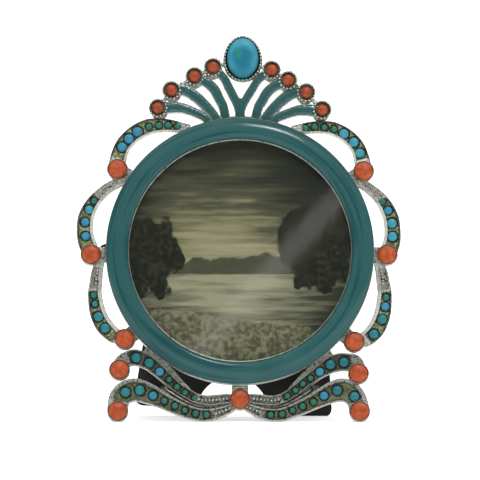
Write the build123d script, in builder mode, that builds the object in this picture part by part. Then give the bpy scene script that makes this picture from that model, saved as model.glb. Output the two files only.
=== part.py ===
"""Round photo frame with an enamelled ring, a stone-set scrolled border and an easel back."""
from build123d import *
import os
from math import cos, radians, sin, tan

# Driving dimensions, in millimetres and degrees

# Stance: the panel leans back, and the leg opens from it at its hinge
LEAN = 10.0
LEG_OPEN = 20.0
BACK_TURN = 3.8             # the round back sits this far off square in its rebate
FOOT_TRIM = 0.35            # worn flat where the feet meet the table

# Ring
SIGHT_R = 25.4              # half of the 2 inch sight opening
RING_WIDTH = 5.1
GLASS_LIP = 1.6             # how far the ring laps over the glass
LIP_DEPTH = 0.6
DOME_RISE = 1.3
ENAMEL_DEPTH = 0.5
RING_EDGE = 0.22            # silver line left beside the enamel

# Pieces stacked in the rebate
GLASS_DEPTH = 1.0
PRINT_DEPTH = 0.25
CARD_DEPTH = 0.6
PLATE_DEPTH = 1.2
STACK_PLAY = 0.05
DISC_PLAY = 0.2             # between the rebate's wall and the discs

# Scrolled bands of the border
BAND_DEPTH = 2.2
RAIL = 0.45
CHANNEL_DEPTH = 0.35
VALLEY_DEPTH = 1.5          # plain web beside a ribbon
SEAT_DEPTH = 0.7
STONE_RISE = 0.6            # how far a stone stands above the channel
SEAT_PLAY = 0.05

# Round stones
LARGE = 2.3
MEDIUM = 2.0
SMALL = 1.55
TINY = 1.4
CORAL = 4.2
CORAL_DOME = 0.8
CREST_CORAL = 2.8
CREST_CORAL_DOME = 0.6
GIRDLE_SHARE = 0.65         # part of a small stone's height below its dome

# Coral cups
CUP_WALL = 0.25
CUP_DEPTH = 2.7
CUP_FLOOR = 1.3
WEB_WIDTH = 4.0
NECK_WIDTH = 3.7

# Crest
CREST_DEPTH = 1.9
CROWN_WALL = 0.6
CROWN_DEPTH = 2.6
CROWN_FLOOR = 1.1
LINK_WIDTH = 0.9
LINK_DEPTH = 1.3
STEM_WIDTH = 2.0
STEM_UP = 3.6
PLUME_EDGE = 0.2
PLUME_ENAMEL = 0.4
OVAL_WIDTH = 7.0
OVAL_HEIGHT = 9.0
OVAL_WALL = 0.8
OVAL_CUP_DEPTH = 3.0
OVAL_GIRDLE = 1.5
OVAL_DOME = 1.6

# Easel hinge and leg
HINGE_UP = 15.0             # hinge above the ring's centre
PIN_BEHIND = 2.0            # pin behind the back plate
PIN_R = 0.5
PIN_FIT = 0.02
PIN_RUN = 0.06
PIN_HEAD_R = 0.9
PIN_HEAD = 0.4
LUG_R = 1.6
LUG_WIDTH = 3.0
BARREL_R = 1.4
TONGUE_WIDTH = 16.0
TONGUE_PLAY = 0.3
SHOULDER = 3.4              # leg's wide part starts this far below the pin
LEG_DEPTH = 1.6
FOOT_WIDTH = 45.5
LEG_FLARE = 6.0
ARCH_R = 8.1
FOOT_CORNER = 2.0
STOP_PLAY = 0.05

# Turn clips behind the ring: degrees from the top, to the left, and turn off straight in
CLIPS = {"left": (85.0, 28.0), "top": (-28.0, 0.0), "bottom": (-152.0, 0.0)}
CLIP_DEPTH = 0.5
CLIP_PLAY = 0.05
CLIP_EYE_R = 1.25
CLIP_NOSE = 4.2
CLIP_NOSE_WIDTH = 1.7
CLIP_TAIL = 3.2
CLIP_TAIL_WIDTH = 0.65
RIVET_R = 0.45
RIVET_HEAD_R = 0.85
RIVET_HEAD = 0.35
RIVET_SHANK = 1.8

# Lines of the bands and plumes: degrees from the top, gap outside the ring, width
UPPER_ARM = ((54.7, 3.8, 3.8), (52, 4.5, 3.8), (48.5, 5.35, 3.6), (45, 5.65, 3.65), (40.5, 5.5, 3.65),
             (36, 4.85, 3.55), (32.5, 3.75, 3.1), (29.5, 2.7, 2.85), (26.5, 1.5, 2.45), (21.5, 0.25, 0.9))
MIDDLE_ARM = ((58, 0.7, 1.8), (61, 1.7, 1.8), (64.5, 2.95, 2.15), (68.5, 4.05, 2.6), (72, 4.8, 3.1),
              (75.5, 5.25, 3.4), (78.5, 5.35, 3.65), (82, 5.1, 3.65), (85.5, 4.6, 3.9), (88, 3.85, 4.1))
LOWER_ARM = ((94, 1.6, 2.0), (97, 2.25, 2.05), (99.5, 2.75, 2.3), (102.5, 3.3, 2.4), (105.5, 3.95, 2.6),
             (109, 4.4, 2.95), (112.5, 4.75, 3.3), (116, 4.9, 3.5), (119.5, 4.75, 3.65), (123.5, 4.05, 3.4),
             (125.5, 3.2, 3.2))
UPPER_RIBBON = ((132.7, 8.4, 2.6), (132, 6.1, 3.1), (133.5, 4.6, 3.3), (136, 3.15, 3.65), (140.5, 2.3, 3.3),
                (146.5, 2.4, 3.0), (151, 2.95, 2.75), (155, 3.55, 2.5), (159.5, 4.05, 2.4),
                (163.5, 4.55, 2.3), (167.5, 4.5, 2.2), (171.5, 3.85, 2.2), (176.5, 3.15, 2.0))
LOWER_RIBBON = ((141.8, 14.3, 4.7), (140.8, 12.5, 5.0), (141.4, 10.55, 5.0), (143.9, 8.85, 4.9),
                (148.7, 7.95, 4.4), (153, 7.75, 3.75), (157.5, 7.8, 3.4), (161.5, 7.9, 3.1), (165, 7.9, 2.95),
                (168.5, 7.6, 2.85), (172.5, 6.7, 2.6), (176.5, 5.35, 2.0), (178.8, 4.2, 1.8))
UPPER_RIBBON_WEB = ((137, 0.9, 2.2), (142, 0.6, 2.0), (147, 0.7, 2.0), (152, 1.2, 1.6), (156, 2.1, 1.2))
LOWER_RIBBON_WEB = ((149.5, 5.0, 2.2), (155, 5.35, 2.0), (160, 5.8, 1.9), (165, 6.0, 1.8), (170, 5.5, 1.8),
                    (176, 4.4, 1.8))
PLUMES = (((28.5, 7.0, 2.5), (23.5, 5.65, 2.2), (20.5, 4.45, 1.95), (17.5, 2.95, 1.8), (15, 1.6, 1.7),
           (13, -0.5, 1.5)),
          ((20.5, 9.2, 2.7), (18, 7.85, 2.4), (16, 6.2, 2.3), (14, 4.35, 2.15), (12, 2.4, 2.05),
           (9.5, -0.5, 1.7)),
          ((13.5, 10.4, 2.15), (10.5, 8.65, 2.1), (8.5, 6.85, 2.05), (7.5, 4.9, 1.95), (6.5, 3, 1.8),
           (6, -0.5, 1.7)),
          ((7.8, 11.2, 1.4), (5.5, 9, 1.4), (4, 6.9, 1.5), (2.5, 4.95, 1.6), (1, 3.1, 1.6)))

# Stones of each band: bare length before the first, gap between them, sizes in order
UPPER_ARM_STONES = (2.9, 0.57, (LARGE, LARGE, LARGE, SMALL, SMALL, SMALL, SMALL))
MIDDLE_ARM_STONES = (7.6, 0.9, (SMALL, MEDIUM, MEDIUM, MEDIUM))
LOWER_ARM_STONES = (7.3, 0.75, (SMALL, SMALL, LARGE, LARGE))
UPPER_RIBBON_STONES = (4.85, 1.0, (LARGE, LARGE, MEDIUM, TINY, TINY, TINY, TINY))
LOWER_RIBBON_STONES = (2.45, 1.05, (LARGE, LARGE, MEDIUM, SMALL, SMALL, TINY, SMALL, SMALL))

# Places of the settings: degrees from the top, gap outside the ring
SIDE_CUPS = ((56.5, 3.1), (91.5, 3.25), (128, 2.7))
UPPER_RIBBON_CUP = (135, 8.25)
LOWER_RIBBON_CUP = (143, 15.35)
BOSS_CUP = (180, 3.4)
CROWNS = ((9, 11.9), (15, 10.7), (22.5, 9.45), (30, 7.2))
OVAL = (-0.8, 13.6)         # set a little off the middle
ARM_LINK = (31.5, 3.6)      # where the outermost crown's link reaches the upper arm

# Sizes that follow from these
RING_R = SIGHT_R + RING_WIDTH
REBATE_R = SIGHT_R + GLASS_LIP
DISC_R = REBATE_R - DISC_PLAY
PLATE_BACK = STACK_PLAY
PLATE_FRONT = PLATE_BACK + PLATE_DEPTH
CARD_FRONT = PLATE_FRONT + CARD_DEPTH
PRINT_FRONT = CARD_FRONT + PRINT_DEPTH
GLASS_FRONT = PRINT_FRONT + GLASS_DEPTH
SHOULDER_LEVEL = GLASS_FRONT + LIP_DEPTH
CHANNEL_FLOOR = BAND_DEPTH - CHANNEL_DEPTH
SEAT_FLOOR = CHANNEL_FLOOR - SEAT_DEPTH
CUP_R = CORAL / 2 + SEAT_PLAY + CUP_WALL
CROWN_R = CREST_CORAL / 2 + SEAT_PLAY + CROWN_WALL
CORAL_GIRDLE = CUP_DEPTH - CUP_FLOOR
CREST_GIRDLE = CROWN_DEPTH - CROWN_FLOOR - CREST_CORAL_DOME / 2
RIVET_CIRCLE = (REBATE_R + RING_R) / 2


def at(deg, gap):
    """Point on the panel's left half, from the degrees off the top and the gap outside the ring."""
    return Vector(0, RING_R + gap).rotate(Axis.Z, deg)


# The panel's plane has its origin in the ring's centre, on the back of the border, and faces forwards
drop = -at(*LOWER_RIBBON_CUP).Y + CUP_R - FOOT_TRIM
PANEL = Plane(origin=(0, 0, drop * cos(radians(LEAN))), x_dir=(1, 0, 0),
              z_dir=(0, -cos(radians(LEAN)), sin(radians(LEAN))))
RADIAL = Plane(origin=PANEL.origin, x_dir=PANEL.x_dir, z_dir=-PANEL.y_dir)
RING_AXIS = Axis(PANEL.origin, PANEL.z_dir)
BACK = Plane(origin=PANEL.offset(PLATE_BACK).origin, x_dir=PANEL.x_dir.rotate(RING_AXIS, -BACK_TURN),
             z_dir=PANEL.z_dir)
HINGE = BACK.from_local_coords((0, HINGE_UP, -PIN_BEHIND))
ACROSS = Plane(origin=HINGE, x_dir=BACK.y_dir, z_dir=BACK.x_dir)
LEG = Plane(origin=HINGE, x_dir=BACK.x_dir,
            z_dir=BACK.z_dir.rotate(Axis((0, 0, 0), BACK.x_dir), LEG_OPEN))
TABLE = Plane.XY


def centre_line(line):
    """Curve through the middle of a band or plume."""
    return Spline(*[at(deg, gap) for deg, gap, _ in line], mode=Mode.PRIVATE)


def outline(line, inset=0.0, mode=Mode.ADD):
    """Face of a band or plume in the current sketch, drawn in from both edges."""
    points = [at(deg, gap) for deg, gap, _ in line]
    ahead = points[1:] + points[-1:]
    behind = points[:1] + points[:-1]
    sides = []
    for hand in (90, -90):
        steps = [(a - b).normalized().rotate(Axis.Z, hand) for a, b in zip(ahead, behind)]
        halves = [max(width / 2 - inset, PLUME_EDGE) for _, _, width in line]
        sides.append([p + step * half for p, step, half in zip(points, steps, halves)])
    with BuildLine() as edges:
        left = Spline(*sides[0])
        right = Spline(*sides[1])
        Line(left @ 0, right @ 0)
        Line(left @ 1, right @ 1)
    make_face(edges.edges(), mode=mode)


def stone_places(line, lead, gap, sizes):
    """Place and size of each stone, walking along the middle of a band."""
    middle = centre_line(line)
    along = lead
    places = []
    for size in sizes:
        along += size / 2
        places.append((middle @ (along / middle.length), size))
        along += size / 2 + gap
    return places


def cabochon(place, size, floor, girdle, dome):
    """Round stone with a flat base and a domed top, added to the current part."""
    foot = PANEL.from_local_coords((place.X, place.Y, floor))
    curve = (size * size / 4 + dome * dome) / (2 * dome)
    with BuildSketch(Plane(origin=foot, x_dir=RADIAL.x_dir, z_dir=RADIAL.z_dir)) as half:
        with BuildLine():
            Polyline((0, girdle + dome), (0, 0), (size / 2, 0), (size / 2, girdle))
            RadiusArc((size / 2, girdle), (0, girdle + dome), -curve)
        make_face()
    revolve(half.sketch, axis=Axis(foot, PANEL.z_dir))


def cup(place, radius, stone, depth, floor):
    """Round setting with its bore, added to the current part."""
    with BuildSketch(PANEL) as wall:
        with Locations(place):
            Circle(radius)
    extrude(wall.sketch, amount=depth)
    with BuildSketch(PANEL.offset(floor)) as bore:
        with Locations(place):
            Circle(stone / 2 + SEAT_PLAY)
    extrude(bore.sketch, amount=depth, mode=Mode.SUBTRACT)


def ring_block(depth):
    """Space that the ring takes up, cut out of the current part."""
    with BuildSketch(PANEL) as block:
        Circle(RING_R)
    extrude(block.sketch, amount=depth, mode=Mode.SUBTRACT)


def carve_band(line, stones, web=None):
    """Band with its channel, its stone seats and any web beside it, added to the current part."""
    with BuildSketch(PANEL) as face:
        outline(line)
    extrude(face.sketch, amount=BAND_DEPTH)
    if web:
        with BuildSketch(PANEL) as valley:
            outline(web)
        extrude(valley.sketch, amount=VALLEY_DEPTH)
    with BuildSketch(PANEL.offset(CHANNEL_FLOOR)) as channel:
        outline(line, inset=RAIL)
    extrude(channel.sketch, amount=CHANNEL_DEPTH, mode=Mode.SUBTRACT)
    with BuildSketch(PANEL.offset(SEAT_FLOOR)) as seats:
        for place, size in stone_places(line, *stones):
            with Locations(place):
                Circle(size / 2 + SEAT_PLAY)
    extrude(seats.sketch, amount=BAND_DEPTH, mode=Mode.SUBTRACT)


def fit_band(band, neighbours):
    """Cuts a band to the ring, to the pieces that it meets and to the table, and drops the offcuts."""
    ring_block(CUP_DEPTH)
    for piece in neighbours:
        add(piece.part, mode=Mode.SUBTRACT)
    split(bisect_by=TABLE, keep=Keep.TOP)
    add(band.part.solids().sort_by(SortBy.VOLUME)[-1], mode=Mode.REPLACE)


def make_arm(line, stones, neighbours):
    """One scrolled arm beside the ring."""
    with BuildPart() as arm:
        carve_band(line, stones)
        fit_band(arm, neighbours)
    return arm


def make_ribbon(line, stones, web, cup_place, neighbours):
    """One scrolled ribbon of the base, with a plain web and a coral cup at its end."""
    with BuildPart() as ribbon:
        carve_band(line, stones, web)
        cup(at(*cup_place), CUP_R, CORAL, CUP_DEPTH, CUP_FLOOR)
        fit_band(ribbon, neighbours)
    return ribbon


def make_stones(line, stones):
    """Turquoise stones of one band."""
    height = SEAT_DEPTH + STONE_RISE
    with BuildPart() as group:
        for place, size in stone_places(line, *stones):
            cabochon(place, size, SEAT_FLOOR, height * GIRDLE_SHARE, height * (1 - GIRDLE_SHARE))
    return group


def make_corals(places, size, floor, girdle, dome):
    """Coral stones of one group of settings."""
    with BuildPart() as group:
        for place in places:
            cabochon(at(*place), size, floor, girdle, dome)
    return group


def mirrored(piece):
    """The same piece on the other side of the frame."""
    with BuildPart() as other:
        mirror(piece.part, about=Plane.YZ)
    return other


def disc(back, front):
    """Plain disc in the ring's rebate."""
    with BuildPart() as piece:
        with BuildSketch(PANEL.offset(back)):
            Circle(DISC_R)
        extrude(amount=front - back)
    return piece


def stem():
    """Middle stem where the two innermost plumes join, in the current sketch."""
    with BuildLine() as middle:
        Line(at(0, -GLASS_LIP), at(0, STEM_UP))
    trace(middle.edges(), line_width=STEM_WIDTH)


def crown_faces(radius, mode=Mode.ADD):
    """Circles at the crown settings of the left half, in the current sketch."""
    with Locations(*[at(*place) for place in CROWNS]):
        Circle(radius, mode=mode)


def oval_face(wall):
    """Outline of the oval stone, at a wall outside it, in the current sketch."""
    with Locations(at(*OVAL)):
        Ellipse(OVAL_WIDTH / 2 + wall, OVAL_HEIGHT / 2 + wall)


def clip_plane(deg, turn):
    """Plane on the ring's back at a rivet, with X along the clip's nose."""
    place = Vector(0, RIVET_CIRCLE).rotate(Axis.Z, deg)
    inwards = -place.normalized().rotate(Axis.Z, turn)
    origin = PANEL.from_local_coords(place)
    return Plane(origin=origin, x_dir=PANEL.from_local_coords(inwards) - PANEL.origin, z_dir=PANEL.z_dir)


def make_clip(plane):
    """Flat clip with an eye, a wide nose over the back plate and a narrow tail."""
    with BuildPart() as clip:
        with BuildSketch(plane.offset(-CLIP_PLAY)):
            Circle(CLIP_EYE_R)
            with Locations((CLIP_NOSE / 2, 0)):
                SlotOverall(CLIP_NOSE + CLIP_NOSE_WIDTH, CLIP_NOSE_WIDTH)
            with Locations((-CLIP_TAIL / 2, 0)):
                Rectangle(CLIP_TAIL, CLIP_TAIL_WIDTH)
            Circle(RIVET_R + PIN_RUN, mode=Mode.SUBTRACT)
        extrude(amount=-CLIP_DEPTH)
    return clip


# Ring: a revolved section with the rebate behind and a trough for the enamel in front
enamel_in = SIGHT_R + RING_EDGE
enamel_out = RING_R - RING_EDGE
enamel_mid = (enamel_in + enamel_out) / 2
trough_level = SHOULDER_LEVEL - ENAMEL_DEPTH

with BuildPart() as ring_casting:
    with BuildSketch(RADIAL):
        with BuildLine():
            Polyline((enamel_in, trough_level), (enamel_in, SHOULDER_LEVEL), (SIGHT_R, SHOULDER_LEVEL),
                     (SIGHT_R, GLASS_FRONT), (REBATE_R, GLASS_FRONT), (REBATE_R, 0), (RING_R, 0),
                     (RING_R, SHOULDER_LEVEL), (enamel_out, SHOULDER_LEVEL), (enamel_out, trough_level))
            ThreePointArc((enamel_out, trough_level), (enamel_mid, trough_level + DOME_RISE),
                          (enamel_in, trough_level))
        make_face()
    revolve(axis=RING_AXIS)
    with BuildSketch(PANEL):
        for deg, _ in CLIPS.values():
            with Locations(Vector(0, RIVET_CIRCLE).rotate(Axis.Z, deg)):
                Circle(RIVET_R + PIN_FIT)
    extrude(amount=RIVET_SHANK, mode=Mode.SUBTRACT)

with BuildPart() as ring_enamel:
    with BuildSketch(RADIAL):
        with BuildLine():
            Line((enamel_in, trough_level), (enamel_in, SHOULDER_LEVEL))
            ThreePointArc((enamel_in, SHOULDER_LEVEL), (enamel_mid, SHOULDER_LEVEL + DOME_RISE),
                          (enamel_out, SHOULDER_LEVEL))
            Line((enamel_out, SHOULDER_LEVEL), (enamel_out, trough_level))
            ThreePointArc((enamel_out, trough_level), (enamel_mid, trough_level + DOME_RISE),
                          (enamel_in, trough_level))
        make_face()
    revolve(axis=RING_AXIS)

# Settings that join the border to the ring
with BuildPart() as side_settings_left:
    for place in SIDE_CUPS:
        with BuildSketch(PANEL):
            with BuildLine():
                Line(at(*place), at(place[0], -GLASS_LIP))
            trace(line_width=WEB_WIDTH)
        extrude(amount=BAND_DEPTH)
        cup(at(*place), CUP_R, CORAL, CUP_DEPTH, CUP_FLOOR)
    ring_block(CUP_DEPTH)

with BuildPart() as base_boss:
    with BuildSketch(PANEL):
        with BuildLine():
            Line(at(*BOSS_CUP), at(BOSS_CUP[0], -GLASS_LIP))
        trace(line_width=NECK_WIDTH)
    extrude(amount=BAND_DEPTH)
    cup(at(*BOSS_CUP), CUP_R, CORAL, CUP_DEPTH, CUP_FLOOR)
    ring_block(CUP_DEPTH)

side_settings_right = mirrored(side_settings_left)

# Bands of the border: each is cut to fit the pieces that it meets
upper_arm_left = make_arm(UPPER_ARM, UPPER_ARM_STONES, [side_settings_left])
middle_arm_left = make_arm(MIDDLE_ARM, MIDDLE_ARM_STONES, [side_settings_left, upper_arm_left])
lower_arm_left = make_arm(LOWER_ARM, LOWER_ARM_STONES, [side_settings_left, middle_arm_left])
upper_ribbon_left = make_ribbon(UPPER_RIBBON, UPPER_RIBBON_STONES, UPPER_RIBBON_WEB, UPPER_RIBBON_CUP,
                                [side_settings_left, lower_arm_left, base_boss])
lower_ribbon_left = make_ribbon(LOWER_RIBBON, LOWER_RIBBON_STONES, LOWER_RIBBON_WEB, LOWER_RIBBON_CUP,
                                [upper_ribbon_left, base_boss])

# Crest: plumes, crown settings and the oval setting in one casting
with BuildPart() as crest_casting:
    with BuildSketch(PANEL):
        with BuildLine():
            Polyline(at(*OVAL), *[at(*place) for place in CROWNS], at(*ARM_LINK))
        trace(line_width=LINK_WIDTH)
        outline(UPPER_ARM, mode=Mode.SUBTRACT)
        mirror(about=Plane.YZ)
    extrude(amount=LINK_DEPTH)
    with BuildSketch(PANEL):
        for line in PLUMES:
            outline(line)
        outline(UPPER_ARM, mode=Mode.SUBTRACT)
        mirror(about=Plane.YZ)
        stem()
        Circle(RING_R, mode=Mode.SUBTRACT)
    extrude(amount=CREST_DEPTH)
    with BuildSketch(PANEL):
        crown_faces(CROWN_R)
        outline(UPPER_ARM, mode=Mode.SUBTRACT)
        mirror(about=Plane.YZ)
    extrude(amount=CROWN_DEPTH)
    with BuildSketch(PANEL):
        oval_face(OVAL_WALL)
    extrude(amount=OVAL_CUP_DEPTH)
    with BuildSketch(PANEL.offset(CREST_DEPTH - PLUME_ENAMEL)) as pocket:
        for line in PLUMES:
            outline(line, inset=PLUME_EDGE)
        outline(UPPER_ARM, inset=-PLUME_EDGE, mode=Mode.SUBTRACT)
        crown_faces(CROWN_R, mode=Mode.SUBTRACT)
        mirror(about=Plane.YZ)
        stem()
        Circle(RING_R + PLUME_EDGE, mode=Mode.SUBTRACT)
    extrude(amount=PLUME_ENAMEL, mode=Mode.SUBTRACT)
    with BuildSketch(PANEL.offset(CROWN_FLOOR)):
        crown_faces(CREST_CORAL / 2 + SEAT_PLAY)
        mirror(about=Plane.YZ)
        oval_face(SEAT_PLAY)
    extrude(amount=OVAL_CUP_DEPTH, mode=Mode.SUBTRACT)

with BuildPart() as crest_enamel:
    extrude(pocket.sketch, amount=PLUME_ENAMEL)

with BuildPart() as crest_oval_stone:
    with BuildSketch(PANEL.offset(CROWN_FLOOR)):
        oval_face(0)
    extrude(amount=OVAL_GIRDLE + OVAL_DOME)
    fillet(crest_oval_stone.faces().sort_by(RING_AXIS)[-1].edges(), OVAL_DOME)

# Stones
crest_places = [(hand * deg, gap) for hand in (1, -1) for deg, gap in CROWNS]
side_places = [*SIDE_CUPS, UPPER_RIBBON_CUP, LOWER_RIBBON_CUP]
crest_corals = make_corals(crest_places, CREST_CORAL, CROWN_FLOOR, CREST_GIRDLE, CREST_CORAL_DOME)
side_corals_left = make_corals(side_places, CORAL, CUP_FLOOR, CORAL_GIRDLE, CORAL_DOME)
boss_coral = make_corals([BOSS_CUP], CORAL, CUP_FLOOR, CORAL_GIRDLE, CORAL_DOME)

left_pieces = {
    "side_settings": side_settings_left,
    "upper_arm": upper_arm_left,
    "middle_arm": middle_arm_left,
    "lower_arm": lower_arm_left,
    "upper_ribbon": upper_ribbon_left,
    "lower_ribbon": lower_ribbon_left,
    "side_corals": side_corals_left,
    "upper_arm_stones": make_stones(UPPER_ARM, UPPER_ARM_STONES),
    "middle_arm_stones": make_stones(MIDDLE_ARM, MIDDLE_ARM_STONES),
    "lower_arm_stones": make_stones(LOWER_ARM, LOWER_ARM_STONES),
    "upper_ribbon_stones": make_stones(UPPER_RIBBON, UPPER_RIBBON_STONES),
    "lower_ribbon_stones": make_stones(LOWER_RIBBON, LOWER_RIBBON_STONES),
}

# Back plate: a disc with two hinge lugs
lug_in = TONGUE_WIDTH / 2 + TONGUE_PLAY
lug_out = lug_in + LUG_WIDTH

with BuildPart() as back_plate:
    with BuildSketch(BACK):
        Circle(DISC_R)
    extrude(amount=PLATE_DEPTH)
    with BuildSketch(ACROSS) as lug_face:
        Circle(LUG_R)
        with Locations((0, PIN_BEHIND / 2)):
            Rectangle(2 * LUG_R, PIN_BEHIND)
        Circle(PIN_R + PIN_FIT, mode=Mode.SUBTRACT)
    for start in (-lug_out, lug_in):
        extrude(lug_face.sketch.moved(Location(ACROSS.z_dir * start)), amount=LUG_WIDTH)

with BuildPart() as hinge_pin:
    with BuildSketch(ACROSS.offset(-lug_out)):
        Circle(PIN_R)
    extrude(amount=2 * lug_out)
    for end, grow in ((-lug_out, -PIN_HEAD), (lug_out, PIN_HEAD)):
        with BuildSketch(ACROSS.offset(end)):
            Circle(PIN_HEAD_R)
        extrude(amount=grow)

# Leg: as long as it takes for its lower foot to reach the table, with a heel that stops on the plate
foot_in = FOOT_WIDTH / 2 - FOOT_CORNER
foot_fall = foot_in * abs(LEG.x_dir.Z) + LEG_DEPTH / 2 * abs(LEG.z_dir.Z)
leg_length = (HINGE.Z - foot_fall + FOOT_TRIM) / LEG.y_dir.Z
open_angle = radians(LEG_OPEN)
heel = (PIN_BEHIND - STOP_PLAY - LEG_DEPTH / 2 * cos(open_angle)) / sin(open_angle)
shoulder_half = FOOT_WIDTH / 2 - (leg_length - SHOULDER) * tan(radians(LEG_FLARE))

with BuildPart() as easel_leg:
    with BuildSketch(LEG.offset(-LEG_DEPTH / 2)) as plate_face:
        with BuildLine():
            Polyline((-FOOT_WIDTH / 2, -leg_length), (FOOT_WIDTH / 2, -leg_length),
                     (shoulder_half, -SHOULDER), (-shoulder_half, -SHOULDER), close=True)
        make_face()
        fillet(plate_face.vertices(), FOOT_CORNER)
        with Locations((0, (heel - SHOULDER - FOOT_CORNER) / 2)):
            Rectangle(TONGUE_WIDTH, heel + SHOULDER + FOOT_CORNER)
        with Locations((0, -leg_length)):
            Circle(ARCH_R, mode=Mode.SUBTRACT)
    extrude(amount=LEG_DEPTH)
    with BuildSketch(ACROSS.offset(-TONGUE_WIDTH / 2)):
        Circle(BARREL_R)
    extrude(amount=TONGUE_WIDTH)
    with BuildSketch(ACROSS.offset(-TONGUE_WIDTH / 2)):
        Circle(PIN_R + PIN_RUN)
    extrude(amount=TONGUE_WIDTH, mode=Mode.SUBTRACT)
    split(bisect_by=TABLE, keep=Keep.TOP)

# Turn clips and their rivets, behind the ring
clip_planes = {name: clip_plane(*place) for name, place in CLIPS.items()}

with BuildPart() as clip_rivets:
    for plane in clip_planes.values():
        head = plane.offset(-2 * CLIP_PLAY - CLIP_DEPTH)
        with BuildSketch(head):
            Circle(RIVET_R)
        extrude(amount=RIVET_SHANK + 2 * CLIP_PLAY + CLIP_DEPTH)
        with BuildSketch(head):
            Circle(RIVET_HEAD_R)
        extrude(amount=-RIVET_HEAD)

# All pieces by name, set with the middle of the whole frame over the origin
pieces = {
    "ring_casting": ring_casting,
    "ring_enamel": ring_enamel,
    "crest_casting": crest_casting,
    "crest_enamel": crest_enamel,
    "crest_oval_stone": crest_oval_stone,
    "crest_corals": crest_corals,
    "base_boss": base_boss,
    "boss_coral": boss_coral,
    "glass_disc": disc(PRINT_FRONT, GLASS_FRONT),
    "photo_print": disc(CARD_FRONT, PRINT_FRONT),
    "backing_card": disc(PLATE_FRONT, CARD_FRONT),
    "back_plate": back_plate,
    "hinge_pin": hinge_pin,
    "easel_leg": easel_leg,
    "clip_rivets": clip_rivets,
}
for name, piece in left_pieces.items():
    pieces[name + "_left"] = piece
    pieces[name + "_right"] = mirrored(piece)
for name, plane in clip_planes.items():
    pieces["turn_clip_" + name] = make_clip(plane)

whole = Compound([piece.part for piece in pieces.values()]).bounding_box()
middle = Location((0, -whole.center().Y, 0))

os.makedirs("parts", exist_ok=True)
for name, piece in pieces.items():
    piece.part.move(middle)
    piece.part.label = name
    export_step(piece.part, f"parts/{name}.step")

shift = middle.position
print("leg hinge at", HINGE + shift, "along", BACK.x_dir)
for name, plane in clip_planes.items():
    print("clip", name, "turns at", plane.origin + shift, "along", PANEL.z_dir)
print("ring centre at", PANEL.origin + shift, "heel", round(heel, 2), "leg", round(leg_length, 2))
print("overall size", whole.size)
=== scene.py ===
# %% [markdown]
# # A round photo frame in silver, enamel and stones
#
# The frame stands on a table and leans back on a black leg. A domed ring of teal enamel holds the glass.
# Round it run silver scrolls set with small turquoise and coral stones, and a fan of enamelled plumes
# stands on top. The CAD model gives every piece its place, so the first step loads it as a fixed guide.
# Its outer box is kept, because the dressed model must not outgrow it.

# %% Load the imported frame
from collections import namedtuple
from math import atan2, cos, hypot, radians, sin, tau

import bmesh
import bpy
from mathutils import Matrix, Vector, geometry, noise


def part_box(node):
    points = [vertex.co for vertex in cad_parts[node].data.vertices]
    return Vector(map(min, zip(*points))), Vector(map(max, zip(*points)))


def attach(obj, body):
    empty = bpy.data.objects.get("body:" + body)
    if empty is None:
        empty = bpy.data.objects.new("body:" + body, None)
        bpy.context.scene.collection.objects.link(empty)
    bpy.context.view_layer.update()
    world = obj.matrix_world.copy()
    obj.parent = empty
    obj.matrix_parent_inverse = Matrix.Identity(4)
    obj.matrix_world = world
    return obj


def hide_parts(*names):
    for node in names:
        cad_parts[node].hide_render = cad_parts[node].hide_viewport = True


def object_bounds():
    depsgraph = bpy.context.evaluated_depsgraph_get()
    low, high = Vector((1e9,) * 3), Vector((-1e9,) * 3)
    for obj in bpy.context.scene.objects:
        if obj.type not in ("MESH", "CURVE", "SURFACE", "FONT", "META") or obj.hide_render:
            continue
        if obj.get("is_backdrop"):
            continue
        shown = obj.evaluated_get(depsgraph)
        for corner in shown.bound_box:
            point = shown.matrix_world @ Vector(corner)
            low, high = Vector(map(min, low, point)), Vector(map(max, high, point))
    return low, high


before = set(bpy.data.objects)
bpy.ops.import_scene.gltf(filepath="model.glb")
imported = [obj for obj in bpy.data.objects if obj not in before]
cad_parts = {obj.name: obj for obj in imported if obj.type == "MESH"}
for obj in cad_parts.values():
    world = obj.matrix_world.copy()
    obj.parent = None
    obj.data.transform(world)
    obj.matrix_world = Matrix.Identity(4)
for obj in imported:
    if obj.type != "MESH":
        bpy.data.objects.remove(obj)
cad_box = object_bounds()

# %% [markdown]
# ## Working flat on the leaning panel
#
# The border is a flat piece of silver work, so it is easiest to draw it flat, in millimetres, with X to
# the right, Y up and Z out of the panel. One matrix then lays the finished mesh on the leaning panel, in
# metres. The glass tells where the ring's centre is: its middle lies a known height above the border's
# back.

# %% The panel's matrix
MM = 0.001
LEAN = radians(10)
GLASS_MIDDLE = 2.6
RIGHT = Vector((1, 0, 0))
UP = Vector((0, sin(LEAN), cos(LEAN)))
OUT = Vector((0, -cos(LEAN), sin(LEAN)))

glass_low, glass_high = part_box("glass_disc")
ring_centre = (glass_low + glass_high) / 2 - OUT * GLASS_MIDDLE * MM
PANEL = Matrix.Translation(ring_centre) @ Matrix((RIGHT, UP, OUT)).transposed().to_4x4() @ Matrix.Scale(MM, 4)
print("ring centre at", [round(c / MM, 2) for c in ring_centre], "mm")

# %% [markdown]
# ## A shorthand for finishes
#
# A procedural finish is a web of nodes, and a web is hard to read in code. A small class wraps one socket,
# so that a sum such as `1 - wear * 0.5` adds the Math nodes by itself. Every other node comes from `make`,
# which takes the node's type, its settings, and the numbers or links of its sockets.

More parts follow.
